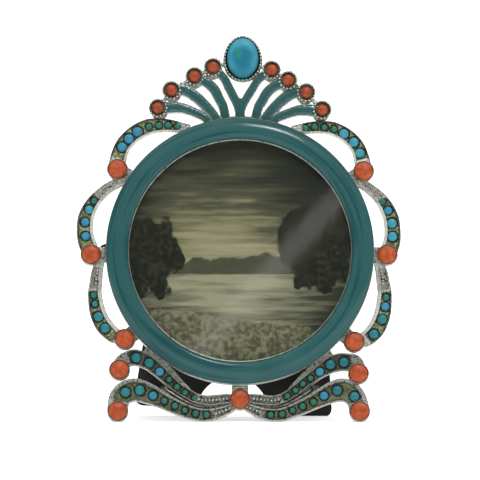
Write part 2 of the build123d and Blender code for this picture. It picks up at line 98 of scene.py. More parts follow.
# %% The Tone class
class Tone:
    """One socket of a finish. Sums on it add Math nodes."""

    def __init__(self, tree, socket=None):
        self.tree = tree
        self.socket = socket

    def make(self, kind, settings=None, sockets=None, out=0):
        """Adds a node, sets it up, joins its sockets and gives back one of its outputs."""
        node = self.tree.nodes.new(kind)
        for name, value in (settings or {}).items():
            if name == "stops":
                ramp = node.color_ramp.elements
                while len(ramp) < len(value):
                    ramp.new(1.0)
                for stop, (position, colour) in zip(ramp, value):
                    stop.position, stop.color = position, colour
            else:
                setattr(node, name, value)
        for name, value in (sockets or {}).items():
            if isinstance(value, Tone):
                self.tree.links.new(value.socket, node.inputs[name])
            else:
                node.inputs[name].default_value = value
        return Tone(self.tree, node.outputs[out] if len(node.outputs) else None)

    def sum(self, operation, first, second, clamp=False):
        return self.make("ShaderNodeMath", {"operation": operation, "use_clamp": clamp},
                         {0: first, 1: second})

    def __add__(self, other):
        return self.sum("ADD", self, other)

    def __radd__(self, other):
        return self.sum("ADD", other, self)

    def __sub__(self, other):
        return self.sum("SUBTRACT", self, other)

    def __rsub__(self, other):
        return self.sum("SUBTRACT", other, self)

    def __mul__(self, other):
        return self.sum("MULTIPLY", self, other)

    def __rmul__(self, other):
        return self.sum("MULTIPLY", other, self)

    def __pow__(self, other):
        return self.sum("POWER", self, other)

    def clamped(self):
        return self.sum("ADD", self, 0.0, clamp=True)

    def rise(self, low, high):
        """Runs smoothly from 0 at low to 1 at high."""
        return self.make("ShaderNodeMapRange", {"interpolation_type": "SMOOTHSTEP"},
                         {"Value": self, "From Min": low, "From Max": high})

    def grain(self, size, detail=2.0, stretch=None):
        """Noise on these coordinates, with patches about this size in metres."""
        spot = self
        if stretch:
            spot = self.make("ShaderNodeMapping", {"vector_type": "POINT"},
                             {"Vector": self, "Scale": stretch})
        return spot.make("ShaderNodeTexNoise", None, {"Vector": spot, "Scale": 1 / size, "Detail": detail})

    def mix(self, factor, first, second):
        """Colour between two colours. The Mix node has its colours at sockets 6 and 7, their mix at 2."""
        return self.make("ShaderNodeMix", {"data_type": "RGBA"}, {0: factor, 6: first, 7: second}, out=2)

    def axes(self):
        """The three coordinates, each on its own."""
        split = self.make("ShaderNodeSeparateXYZ", None, {"Vector": self}).socket.node
        return [Tone(self.tree, socket) for socket in split.outputs]

    def attribute(self, name, out="Fac"):
        return self.make("ShaderNodeAttribute", {"attribute_name": name}, out=out)

    def bump(self, height, strength, depth):
        return self.make("ShaderNodeBump", None, {"Strength": strength, "Distance": depth, "Height": height})


print("Tone is ready")

# %% [markdown]
# ## Starting and closing a finish
#
# Every finish needs the same few steps: a colour picked on screen becomes light values, a point's place on
# the panel is worked out, an empty node tree is made, and one Principled shader closes it. Four small
# functions do that, so that each finish below is only its own idea.

# %% Helpers for finishes
def paint(red, green, blue):
    """Colour as it looks on screen, from 0 to 255, turned by the sRGB curve into a shader's light values."""
    values = [c / 255 for c in (red, green, blue)]
    return (*[c / 12.92 if c <= 0.04045 else ((c + 0.055) / 1.055) ** 2.4 for c in values], 1.0)


def panel_place(spot):
    """Right and up on the panel, in millimetres from the ring's centre."""
    x, y, z = spot.axes()
    return x * (1 / MM), ((y - ring_centre.y) * UP.y + (z - ring_centre.z) * UP.z) * (1 / MM)


def start_finish(name):
    """New material with an empty node tree, and a Tone that reads Object coordinates."""
    material = bpy.data.materials.new(name)
    material.use_nodes = True
    material.node_tree.nodes.clear()
    return material, Tone(material.node_tree).make("ShaderNodeTexCoord", out="Object")


def end_finish(spot, sockets):
    """Closes a finish with one Principled shader."""
    surface = spot.make("ShaderNodeBsdfPrincipled", None, sockets)
    spot.make("ShaderNodeOutputMaterial", None, {"Surface": surface})


print("helpers for finishes are ready")

# %% [markdown]
# ## Antique silver
#
# Cast silver is bright on the high lines and nearly black in the hollows, where the jeweller leaves the
# dark patina. Each mesh says how deep a point lies in an attribute called recess, and the ground under the
# stones has a second one, gilt, because there the hollow is an olive gold. Noise breaks both up. Recess
# also carries painted light: high values paint the raised collars round the small stones dark as painted
# shade, and low values leave the ribbons' rail edges pale as a painted highlight. Just below zero, recess
# means a burnished rail, painted paler also as a painted highlight. On the back and the low sides it is
# well below zero: nobody polishes them, so they keep the dull grey of the casting, with few specks.

# %% Silver finish
silver, spot = start_finish("antique_silver")
recess = spot.attribute("recess")
gilt = spot.attribute("gilt")
patches = spot.grain(1.1 * MM, 3.0)
specks = spot.grain(0.42 * MM, 2.0)
# Dark patina in the hollows. On the raised collars round the small stones, this darkness is painted shade.
patina_and_shade = (recess * 1.15 + specks.rise(0.48, 0.7) * 0.65 + (patches - 0.5) * 0.75).clamped()
metal = spot.mix(patches.rise(0.3, 0.7), paint(168, 169, 160), paint(204, 205, 196))
as_cast = spot.mix(patches.rise(0.3, 0.7), paint(112, 113, 107), paint(140, 141, 134))
unpolished = (0 - recess).rise(0.2, 0.45)
# Burnished rails are polished silver, and their paler colour is also a painted highlight.
burnish_and_highlight = (0 - recess).rise(0.02, 0.15) * (1 - unpolished)
metal = spot.mix(burnish_and_highlight * 0.7, metal, paint(222, 224, 214))
metal = spot.mix(unpolished, metal, as_cast)
metal = spot.mix(patina_and_shade, metal, paint(44, 46, 36))
olive = spot.mix(specks.rise(0.35, 0.68), paint(66, 72, 44), paint(142, 148, 102))
rubbed = spot.grain(3.2 * MM, 2.0).rise(0.5, 0.64)
olive = spot.mix(rubbed * 0.7, olive, paint(152, 156, 136))
metal = spot.mix((gilt * recess.rise(0.6, 0.95)).clamped(), metal, olive)
end_finish(spot, {
    "Base Color": metal,
    "Metallic": 1 - gilt * recess * 0.5,
    "Roughness": 0.34 + patches * 0.14 + patina_and_shade * 0.2 + unpolished * 0.1,
    "Normal": spot.bump(specks + patches, 0.5, 0.09 * MM),
})
print("finish:", silver.name)

# %% [markdown]
# ## Teal enamel
#
# Vitreous enamel is ground glass melted on metal: an even, deep colour under a wet gloss. A trace of
# mottling keeps it from looking like plastic. On the ring the mottling is drawn out into faint lines round
# its centre, as stoning the enamel smooth leaves them. The plumes have more speckle instead, since the
# enamel lies thinner there, and a stronger gloss on a wavy surface, which gives them many small sparks of
# light.

# %% Enamel finishes
def make_enamel(name, deep, pale, speckle, gloss, rings=0.0, waves=0.0):
    """Enamel finish. Rings darkens it in faint lines round the ring's centre, waves makes it uneven."""
    material, spot = start_finish(name)
    cloud = spot.grain(7 * MM, 2.0)
    dust = spot.grain(0.25 * MM, 1.0)
    u, v = panel_place(spot)
    reach = (u ** 2.0 + v ** 2.0) ** 0.5
    wiping = spot.make("ShaderNodeCombineXYZ", None, {"X": reach * 1.1, "Y": u * 0.04, "Z": v * 0.04})
    wiped = wiping.grain(1.0, 1.0).rise(0.5, 0.68)
    tint = ((cloud - 0.5) * 0.7 + (dust - 0.5) * speckle + 0.7 - wiped * rings).clamped()
    height = cloud - wiped * rings * 0.3 + dust * 0.1 + spot.grain(0.9 * MM, 2.0) * waves
    end_finish(spot, {
        "Base Color": spot.mix(tint, deep, pale),
        "Roughness": 0.1 + dust * 0.05,
        "Specular IOR Level": gloss,
        "Normal": spot.bump(height, 0.14, 0.06 * MM),
    })
    print("finish:", name)
    return material


ring_teal = make_enamel("ring_teal_enamel", paint(24, 64, 66), paint(46, 85, 84), 0.25, 0.16, rings=0.6)
plume_teal = make_enamel("plume_teal_enamel", paint(20, 58, 61), paint(42, 82, 80), 0.9, 0.45, waves=24.0)

# %% [markdown]
# ## Stones
#
# The small stones differ from one to the next, so each mesh carries its own tint in a colour attribute and
# the finish only mottles it. Coral is an opaque orange with a faint cloud, a shade deeper in the crest.
# The oval turquoise comes later, with its setting, because its finish follows the place on the stone.

# %% Stone finishes
turquoise, spot = start_finish("turquoise")
tint = spot.attribute("tint", out="Color")
cloud = spot.grain(0.8 * MM, 3.0)
end_finish(spot, {
    "Base Color": spot.mix(cloud.rise(0.35, 0.8) * 0.45, tint, paint(30, 84, 84)),
    "Roughness": 0.34 + cloud * 0.15,
    "Specular IOR Level": 0.24,
})
print("finish:", turquoise.name)


def make_coral(name, deep, pale):
    """Coral finish, clouded between two shades."""
    material, spot = start_finish(name)
    cloud = spot.grain(0.9 * MM, 3.0)
    dust = spot.grain(0.3 * MM, 2.0)
    end_finish(spot, {
        "Base Color": spot.mix((cloud.rise(0.3, 0.75) + (dust - 0.5) * 0.35).clamped(), deep, pale),
        "Roughness": 0.42 + dust * 0.14,
        "Specular IOR Level": 0.35,
        "Normal": spot.bump(cloud + dust * 0.3, 0.2, 0.06 * MM),
    })
    print("finish:", name)
    return material


coral = make_coral("coral", paint(140, 51, 15), paint(170, 77, 31))
crest_coral = make_coral("crest_coral", paint(122, 42, 12), paint(154, 64, 24))

# %% [markdown]
# ## Black back
#
# Leg, plate and clips are painted a matt black with a fine, slightly leathery grain. A second, larger
# noise varies the gloss, as handling does. Where that is strong, long thin scuffs show the paler primer.
# Pin and rivets are plain steel with a faint brushed grain, and the card behind the print is brown pulp.

# %% Black, steel and card finishes
black, spot = start_finish("matt_black_paint")
grain = spot.grain(0.28 * MM, 2.0)
wear = spot.grain(9 * MM, 3.0)
scuffs = spot.grain(0.5 * MM, 3.0, stretch=(1.0, 0.08, 0.08)).rise(0.56, 0.72) * wear.rise(0.45, 0.62)
black_tone = spot.mix((grain * wear * 1.6).clamped(), paint(5, 5, 4), paint(17, 18, 15))
end_finish(spot, {
    "Base Color": spot.mix(scuffs * 0.4, black_tone, paint(62, 60, 54)),
    "Roughness": 0.72 - wear.rise(0.35, 0.65) * 0.36,
    "Specular IOR Level": 0.26,
    "Normal": spot.bump(grain - scuffs * 0.5, 0.55, 0.06 * MM),
})

steel, spot = start_finish("plain_steel")
brush = spot.grain(0.3 * MM, 2.0, stretch=(0.2, 1.0, 1.0))
end_finish(spot, {
    "Base Color": spot.mix(brush, paint(128, 126, 120), paint(176, 174, 168)),
    "Metallic": 1.0,
    "Roughness": 0.3 + brush * 0.2,
})

card, spot = start_finish("backing_card_pulp")
fibre = spot.grain(0.4 * MM, 3.0)
end_finish(spot, {"Base Color": spot.mix(fibre, paint(150, 128, 98), paint(182, 160, 126)), "Roughness": 0.9})
print("finishes:", black.name, steel.name, card.name)

# %% [markdown]
# ## Shaping helpers
#
# Three shapes make up nearly the whole border. Round things, such as cups and stones, are a section spun
# on a lathe. Scrolls are a cross-section extruded row by row along a curve. Beads are small spheres. Each
# helper adds to a bmesh that is drawn flat on the panel, in millimetres.

# %% Lathe and beads
RING_R = 30.5
LAYERS = ("recess", "gilt")


def at(deg, gap):
    """Point on the panel's left half, from the degrees off the top and the gap outside the ring."""
    reach = RING_R + gap
    return Vector((-sin(radians(deg)) * reach, cos(radians(deg)) * reach, 0))


def start_piece():
    """Empty bmesh with the layers that the silver finish reads."""
    bm = bmesh.new()
    for layer in LAYERS:
        bm.verts.layers.float.new(layer)
    return bm


def lathe(bm, section, place=(0, 0), *, steps, closed=False):
    """Spins a section of (radius, height, recess, gilt) points, and gives back the new vertices."""
    deep, gold = (bm.verts.layers.float[name] for name in LAYERS)
    points = []
    for radius, height, *tones in section:
        point = bm.verts.new((place[0] + radius, place[1], height))
        point[deep], point[gold] = (*tones, 0.0, 0.0)[:2]
        points.append(point)
    loop = points + points[:1] if closed else points
    edges = [bm.edges.new(pair) for pair in zip(loop, loop[1:])]
    bmesh.ops.spin(bm, geom=points + edges, cent=(*place, 0), axis=(0, 0, 1), angle=tau, steps=steps,
                   use_merge=True)
    made = {point for point in points if point.is_valid}
    fresh = made
    while fresh:
        fresh = {other for point in fresh for edge in point.link_edges for other in edge.verts} - made
        made = made | fresh
    return made


def bead(bm, place, height, radius):
    """Small sphere with few faces, for milgrain."""
    bmesh.ops.create_uvsphere(bm, u_segments=8, v_segments=5, radius=radius,
                              matrix=Matrix.Translation((*place, height)))


print("lathe and beads are ready, round a ring of", RING_R, "mm")

# %% [markdown]
# ## From a drawing to a piece
#
# A drawn bmesh still has doubles, lies flat, and belongs to nothing. `finish_piece` merges it, cuts off
# what would reach below the table, marks its back and low sides as unpolished, lays it on the panel and
# makes it an object. Then it ties the piece to the body that it rides on, and lets it replace its CAD
# nodes, which it hides.

# %% Finishing a piece
MERGE = 0.002
CLEAN_BELOW, CLEAN = 1.2, -0.45
TABLE_NORMAL = Vector((0, cos(LEAN), sin(LEAN)))
TABLE_POINT = TABLE_NORMAL * (-ring_centre.z / MM)


def wear_flat(bm):
    """Cuts off what would reach below the table, and closes the flats."""
    if all((point.co - TABLE_POINT).dot(TABLE_NORMAL) >= 0 for point in bm.verts):
        return
    cut = bmesh.ops.bisect_plane(bm, geom=[*bm.verts, *bm.edges, *bm.faces], dist=MERGE / 10,
                                 plane_co=TABLE_POINT, plane_no=-TABLE_NORMAL, clear_outer=True)["geom_cut"]
    bmesh.ops.holes_fill(bm, edges=[item for item in cut if isinstance(item, bmesh.types.BMEdge)], sides=0)


def finish_piece(bm, name, material, nodes, body="frame", sharp=38):
    """Merges, lays the piece on the panel, makes it an object and ties it to its body."""
    bmesh.ops.remove_doubles(bm, verts=bm.verts, dist=MERGE)
    bmesh.ops.dissolve_degenerate(bm, edges=bm.edges, dist=MERGE / 4)
    wear_flat(bm)
    deep = bm.verts.layers.float.get("recess")
    for point in bm.verts:
        if deep and point.co.z < CLEAN_BELOW:
            point[deep] = CLEAN
    bmesh.ops.recalc_face_normals(bm, faces=bm.faces)
    bmesh.ops.transform(bm, matrix=PANEL, verts=bm.verts)
    for face in bm.faces:
        face.smooth = True
    mesh = bpy.data.meshes.new(name)
    bm.to_mesh(mesh)
    bm.free()
    mesh.set_sharp_from_angle(angle=radians(sharp))
    mesh.materials.append(material)
    piece = bpy.data.objects.new(name, mesh)
    bpy.context.scene.collection.objects.link(piece)
    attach(piece, body)
    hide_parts(*nodes)
    print("piece:", name, "with", len(mesh.polygons), "faces")
    return piece


def mirror_over(bm, hand):
    """Turns a piece that is drawn on the left half over to the right half."""
    if hand == "right":
        bmesh.ops.scale(bm, vec=(-1, 1, 1), verts=bm.verts)


print("pieces are merged within", MERGE, "mm")

# %% [markdown]
# ## Rows along a scroll
#
# A scroll is drawn as a few marks: degrees from the top, gap outside the ring, and width. A Bezier curve
# through the marks gives many rows, and because the width is the third number of each mark it is smoothed
# along with them. A mark's handle is a sixth of the way between its neighbours, which keeps the curve
# smooth.

# %% Rows
ROW_STEPS = 7
Row = namedtuple("Row", "centre left half walked")


def rows_along(line):
    """Rows of a scroll: centre, direction to the left, half width, and way walked from the start."""
    marks = [Vector((*at(deg, gap).xy, width)) for deg, gap, width in line]
    ahead = marks[1:] + marks[-1:]
    behind = marks[:1] + marks[:-1]
    pulls = [(a - b) / 6 for a, b in zip(ahead, behind)]
    points = [marks[0]]
    for start, end, out, back in zip(marks, marks[1:], pulls, pulls[1:]):
        points += geometry.interpolate_bezier(start, start + out, end - back, end, ROW_STEPS + 1)[1:]
    rows, walked = [], 0.0
    for i, point in enumerate(points):
        after, before = points[min(i + 1, len(points) - 1)], points[max(i - 1, 0)]
        heading = (after - before).xy.normalized()
        walked += (point - points[max(i - 1, 0)]).xy.length
        rows.append(Row(point.xy, Vector((-heading.y, heading.x)), point.z / 2, walked))
    return rows


def place_along(rows, distance):
    """Centre, left direction and half width at a distance along the rows."""
    for (here, left, half, walked), (there, _, wide, reached) in zip(rows, rows[1:]):
        if reached >= distance:
            share = (distance - walked) / max(reached - walked, 1e-6)
            return here.lerp(there, share), left, half + (wide - half) * share
    return rows[-1][:3]


print("a scroll has", ROW_STEPS, "rows from mark to mark")

# %% [markdown]
# ## Extruding a band
#
# The band is extruded from row to row: the last row of edges is grown, and the new points are moved to
# where their lane says. Every lane of the cross-section keeps its distance from the band's edge, so the
# rails stay thin where the band widens. A lid closes each end.

# %% Bands
def band(bm, rows, lanes):
    """Extrudes a cross-section along rows. A lane gives (across, height, recess, gilt) for each row."""
    lane_of = bm.verts.layers.int.get("lane") or bm.verts.layers.int.new("lane")
    deep, gold = (bm.verts.layers.float[name] for name in LAYERS)

    def settle(points, row):
        for point in points:
            across, height, depth, gilded = lanes[point[lane_of]](row)
            point.co = (*(row.centre + row.left * across), height)
            point[deep], point[gold] = depth, gilded

    points = []
    for i in range(len(lanes)):
        point = bm.verts.new((i, 0, 0))
        point[lane_of] = i
        points.append(point)
    edges = [bm.edges.new(pair) for pair in zip(points, points[1:] + points[:1])]
    settle(points, rows[0])
    first = edges
    for row in rows[1:]:
        grown = bmesh.ops.extrude_edge_only(bm, edges=edges)["geom"]
        edges = [item for item in grown if isinstance(item, bmesh.types.BMEdge)]
        settle([item for item in grown if isinstance(item, bmesh.types.BMVert)], row)
    for rim in (first, edges):
        lid = bmesh.ops.edgeloop_fill(bm, edges=rim)["faces"]
        bmesh.ops.triangulate(bm, faces=lid)


print("bands can be drawn")

# %% [markdown]
# ## The ring
#
# The ring is turned silver: a rebate behind for the glass, a trough in front for the enamel, and a thin
# bright lip on each side of it. Both are lathe work. The enamel swells above the lips, and that dome is
# what catches the long highlights.

# %% Ring and its enamel
RING_STEPS = 192
RING_SECTION = ((27.0, 0.12), (27.0, 3.1), (25.3, 3.1), (25.24, 3.2, 0.2), (25.24, 3.62, 0.15),
                (25.3, 3.76, 0.05), (25.38, 3.8), (25.46, 3.74, 0.2), (25.5, 3.5, 0.6), (27.95, 3.6, 0.6),
                (30.36, 3.3, 0.6), (30.42, 3.42, 0.1), (30.48, 3.42, 0.1), (30.5, 3.34), (30.5, 0.15),
                (30.38, 0.0), (27.12, 0.0))
DOME_SECTION = ((25.48, 3.2), (25.48, 3.74), (25.52, 4.05), (25.6, 4.34), (25.76, 4.56), (25.98, 4.73),
                (26.27, 4.85), (26.65, 4.94), (27.1, 4.99), (27.5, 5.0), (27.9, 4.97), (28.3, 4.9),
                (28.7, 4.79), (29.1, 4.65), (29.5, 4.47), (29.85, 4.27), (30.12, 4.06), (30.3, 3.84),
                (30.4, 3.6), (30.42, 3.4), (30.3, 3.2))

bm = start_piece()
lathe(bm, RING_SECTION, steps=RING_STEPS, closed=True)
finish_piece(bm, "ring_silver", silver, ["ring_casting"])

bm = start_piece()
lathe(bm, DOME_SECTION, steps=RING_STEPS, closed=True)
finish_piece(bm, "ring_enamel_dome", ring_teal, ["ring_enamel"])

# %% [markdown]
# ## Coral cups and their webs
#
# Each coral sits in a plain round cup with a thin, burnished rim. A short web ties a side cup to the ring,
# and a neck with three bars ties the boss under the ring. The cup's inside is dark, which draws the thin
# line round every coral. The frame was bent up by hand, so its two halves differ a little: each half has
# its own places, all measured from the top, and the right half is drawn on the left and then mirrored.

# %% Cups, webs and corals
SIDE_CUPS = {
    "left": ((56, 3.1), (91.3, 3.35), (127.5, 2.5)),
    "right": ((56.9, 3.05), (91.4, 2.95), (128.6, 2.7)),
}
RIBBON_CUPS = {"left": ((134.7, 8.0), (142.8, 15.4)), "right": ((136.1, 8.3), (143.4, 15.05))}
CUP_SECTION = ((0, 0), (2.34, 0), (2.4, 0.3), (2.4, 1.7, 0.2), (2.38, 2.4, 0.3), (2.34, 2.58, 0.1),
               (2.27, 2.66), (2.2, 2.62, 0.2), (2.15, 2.5, 0.8), (2.13, 1.6, 1.0), (0, 1.3, 1.0))
CORAL_SECTION = ((0, 1.32), (2.08, 1.32), (2.1, 2.5), (2.06, 2.72), (1.94, 2.9), (1.7, 3.1), (1.35, 3.27),
                 (0.9, 3.38), (0.45, 3.43), (0, 3.44))
WEB_BEVEL, WEB_RECESS = 0.18, 0.4
CORAL_WAVES, CORAL_RISE = 0.8, 0.07


def cup(bm, place):
    """Round cup for a large coral."""
    lathe(bm, CUP_SECTION, place.xy, steps=40)


def block(bm, matrix, bevel, depth=0.0):
    """Bevelled block, from a cube of 1 mm that the matrix stretches and places."""
    made = bmesh.ops.create_cube(bm, size=1.0, matrix=matrix)["verts"]
    for point in made:
        point[bm.verts.layers.float["recess"]] = depth
    edges = list({edge for point in made for edge in point.link_edges})
    bmesh.ops.bevel(bm, geom=edges, offset=bevel, segments=2, profile=0.5, affect="EDGES", material=-1)


def web(bm, place, width, height, reach):
    """Bevelled block from a cup towards the ring's centre."""
    inward = -place.normalized()
    turn = Matrix.Rotation(atan2(inward.y, inward.x), 4, "Z")
    middle = place + inward * (reach / 2)
    shape = Matrix.Diagonal((reach, width, height, 1))
    block(bm, Matrix.Translation((middle.x, middle.y, height / 2)) @ turn @ shape, WEB_BEVEL, WEB_RECESS)


def coral_stone(bm, place, section=CORAL_SECTION, steps=40):
    """Cabochon with a slightly uneven top, as hand-cut coral has."""
    girdle = section[2][1]
    for point in lathe(bm, section, place.xy, steps=steps):
        if point.co.z > girdle:
            point.co.z += noise.noise(point.co * CORAL_WAVES) * CORAL_RISE


print("side cups:", sum(len(places) for places in SIDE_CUPS.values()))

# %% Side cups and corals
SIDE_WEB_WIDTH, SIDE_WEB_HEIGHT, SIDE_WEB_BITE = 3.5, 2.2, 0.35

for hand in ("left", "right"):
    bm = start_piece()
    for deg, gap in SIDE_CUPS[hand]:
        cup(bm, at(deg, gap))
        web(bm, at(deg, gap), SIDE_WEB_WIDTH, SIDE_WEB_HEIGHT, gap + SIDE_WEB_BITE)
    mirror_over(bm, hand)
    finish_piece(bm, f"side_cups_{hand}", silver, [f"side_settings_{hand}"])

    bm = start_piece()
    for deg, gap in (*SIDE_CUPS[hand], *RIBBON_CUPS[hand]):
        coral_stone(bm, at(deg, gap))
    mirror_over(bm, hand)
    finish_piece(bm, f"side_coral_stones_{hand}", coral, [f"side_corals_{hand}"])

# %% Boss under the ring
BOSS_CUP = (180, 3.35)
NECK_WIDTH, NECK_HEIGHT, NECK_BITE = 3.7, 2.0, 0.3
NECK_BARS = (0.12, 0.6, 1.08)
BAR_SIZE, BAR_BEVEL = Vector((3.76, 0.3, 2.2)), 0.08

bm = start_piece()
cup(bm, at(*BOSS_CUP))
web(bm, at(*BOSS_CUP), NECK_WIDTH, NECK_HEIGHT, BOSS_CUP[1] + NECK_BITE)
for gap in NECK_BARS:
    middle = at(BOSS_CUP[0], gap) + Vector((0, 0, BAR_SIZE.z / 2))
    block(bm, Matrix.Translation(middle) @ Matrix.Diagonal((*BAR_SIZE, 1)), BAR_BEVEL)
finish_piece(bm, "boss_cup", silver, ["base_boss"])
bm = start_piece()
coral_stone(bm, at(*BOSS_CUP))
finish_piece(bm, "boss_coral_stone", coral, ["boss_coral"])

# %% [markdown]
# ## The scrolled bands
#
# Every arm and ribbon has a thin rail on each side, and between them a sunk, olive-gold ground that holds
# a row of graded stones. Each stone sits in a collar painted dark, which is painted shade of the pit round
# the stone. Some stretches carry no stones: there the ground is plain silver, smooth or with tiny beads,
# called milgrain, in one row or two. A ribbon starts in the middle of its coral, so that its edges run
# into the cup's wall.
#
# A table describes each band. Each half has its own `line`, the marks of the band's middle, a bare `lead`
# and then stones with a `gap` between them, their `tints`, any `slips` of single stones along the band,
# how far all of them lie `off` its middle, and a ribbon's `web` beside it. Both halves share the stones'
# `sizes`, unless a half has its own, the start and end of the `ground`, how `gilt` it is, the width of
# both `rails` at the start and at the end of it, how `dark` the rails are, and how much of that their
# outer `edge` takes on. Where the edge takes on little, as on the ribbons, it stays a pale line: a painted
# highlight. `worn` and `hollow` say how dark a plain stretch is, without beads and with them.
# `beads` gives a stretch's start and end, the beads' radius, and how far in from the edge two rows lie, or
# 0 for one row. `flutes` is a web's section.

# %% Sizes and tints of the stones
LARGE, MEDIUM, SMALL, TINY = 2.3, 2.0, 1.55, 1.4
BLUE, AQUA, TEAL = paint(44, 120, 150), paint(52, 134, 150), paint(34, 112, 119)
DEEP, GREEN = paint(24, 100, 108), paint(36, 98, 88)
print("stones from", TINY, "to", LARGE, "mm")

# %% Arms
ARMS = {
    "upper_arm": {
        "left": {
            "line": ((54.7, 3.8, 3.8), (52, 4.5, 3.8), (48.5, 5.35, 3.6), (45, 5.65, 3.65),
                     (40.5, 5.5, 3.65), (36, 4.85, 3.55), (32.5, 3.75, 3.1), (29.5, 2.7, 2.85),
                     (26.5, 1.5, 2.45), (21.5, 0.25, 0.9)),
            "lead": 2.75, "gap": 0.57, "slips": (0.38, 0, -0.3, 0, 0.1, 0.2, 0.2),
            "tints": (BLUE, BLUE, BLUE, GREEN, GREEN, GREEN, GREEN),
        },
        "right": {
            "line": ((55.3, 3.6, 3.7), (52.7, 4.3, 3.6), (49.2, 5.15, 3.35), (45.8, 5.5, 3.3),
                     (41.3, 5.35, 3.2), (36.9, 4.7, 3.1), (33.4, 3.6, 2.85), (30.4, 2.5, 2.7),
                     (27.4, 1.35, 2.35), (22.4, 0.1, 0.9)),
            "lead": 2.0, "gap": 0.64, "tints": (AQUA, AQUA, AQUA, GREEN, GREEN, GREEN, GREEN),
        },
        "sizes": (LARGE, LARGE, LARGE, SMALL, SMALL, SMALL, SMALL),
        "ground": (1.3, 19.0), "rails": ((0.28, 0.28), (0.66, 0.4)), "dark": (0.65, -0.15), "edge": 1.0,
        "gilt": 1.0, "worn": 0.1, "beads": (),
    },
    "middle_arm": {
        "left": {
            "line": ((58, 0.7, 2.4), (61, 1.7, 2.3), (64.5, 2.95, 2.45), (68.5, 4.05, 2.75), (72, 4.8, 3.1),
                     (75.5, 5.25, 3.4), (78.5, 5.35, 3.65), (82, 5.1, 3.65), (85.5, 4.6, 3.9),
                     (88, 3.95, 4.0), (91.3, 3.3, 3.9)),
            "lead": 6.9, "gap": 1.15, "slips": (0.7,), "tints": (GREEN, AQUA, BLUE, BLUE),
        },
        "right": {
            "line": ((58.7, 0.65, 2.4), (61.4, 1.5, 2.3), (64.8, 2.5, 2.45), (68.4, 3.45, 2.75),
                     (71.9, 4.1, 3.1), (75.4, 4.5, 3.4), (78.5, 4.65, 3.6), (82.0, 4.5, 3.65),
                     (85.6, 4.2, 3.8), (88.4, 3.65, 3.9), (91.4, 2.95, 3.9)),
            "lead": 6.55, "gap": 0.85, "slips": (0.2,), "tints": (GREEN, BLUE, AQUA, AQUA),
            "sizes": (SMALL, MEDIUM, LARGE, LARGE),
        },
        "sizes": (SMALL, MEDIUM, MEDIUM, MEDIUM),
        "ground": (6.9, 23.0), "rails": ((0.72, 0.78), (0.42, 0.42)), "dark": (-0.15, 0.65), "edge": 1.0,
        "gilt": 1.0, "worn": 0.1, "beads": ((1.4, 6.6, 0.2, 0.75),), "hollow": 0.36,
    },
    "lower_arm": {
        "left": {
            "line": ((94, 1.5, 2.3), (97, 2.05, 2.45), (99.5, 2.5, 2.75), (102.5, 3.05, 2.9),
                     (105.5, 3.7, 3.1), (109, 4.2, 3.35), (112.5, 4.6, 3.6), (116, 4.75, 3.75),
                     (119.5, 4.6, 3.85), (123.5, 3.95, 3.5), (125.5, 3.15, 3.2)),
            "lead": 7.05, "gap": 0.75, "slips": (0, -0.3), "off": -0.25, "tints": (GREEN, TEAL, TEAL, TEAL),
        },
        "right": {
            "line": ((94.4, 1.15, 2.3), (97.3, 1.75, 2.55), (99.7, 2.25, 2.85), (102.7, 2.85, 3.0),
                     (105.7, 3.6, 3.2), (109.3, 4.2, 3.45), (112.9, 4.75, 3.7), (116.5, 5.05, 3.85),
                     (120.2, 5.1, 3.9), (124.3, 4.5, 3.6), (126.4, 3.8, 3.3)),
            "lead": 7.3, "gap": 0.6, "slips": (0, -0.1, 0.1, 0.9), "off": -0.35,
            "tints": (GREEN, BLUE, TEAL, TEAL),
            "sizes": (SMALL, MEDIUM, LARGE, LARGE),
        },
        "sizes": (SMALL, SMALL, LARGE, LARGE),
        "ground": (6.6, 19.0), "rails": ((1.0, 0.9), (0.4, 0.4)), "dark": (-0.15, 0.65), "edge": 1.0,
        "gilt": 1.0, "worn": 0.1, "beads": ((1.5, 6.4, 0.27, 0),), "hollow": 0.48,
    },
}
print("arms:", ", ".join(ARMS))

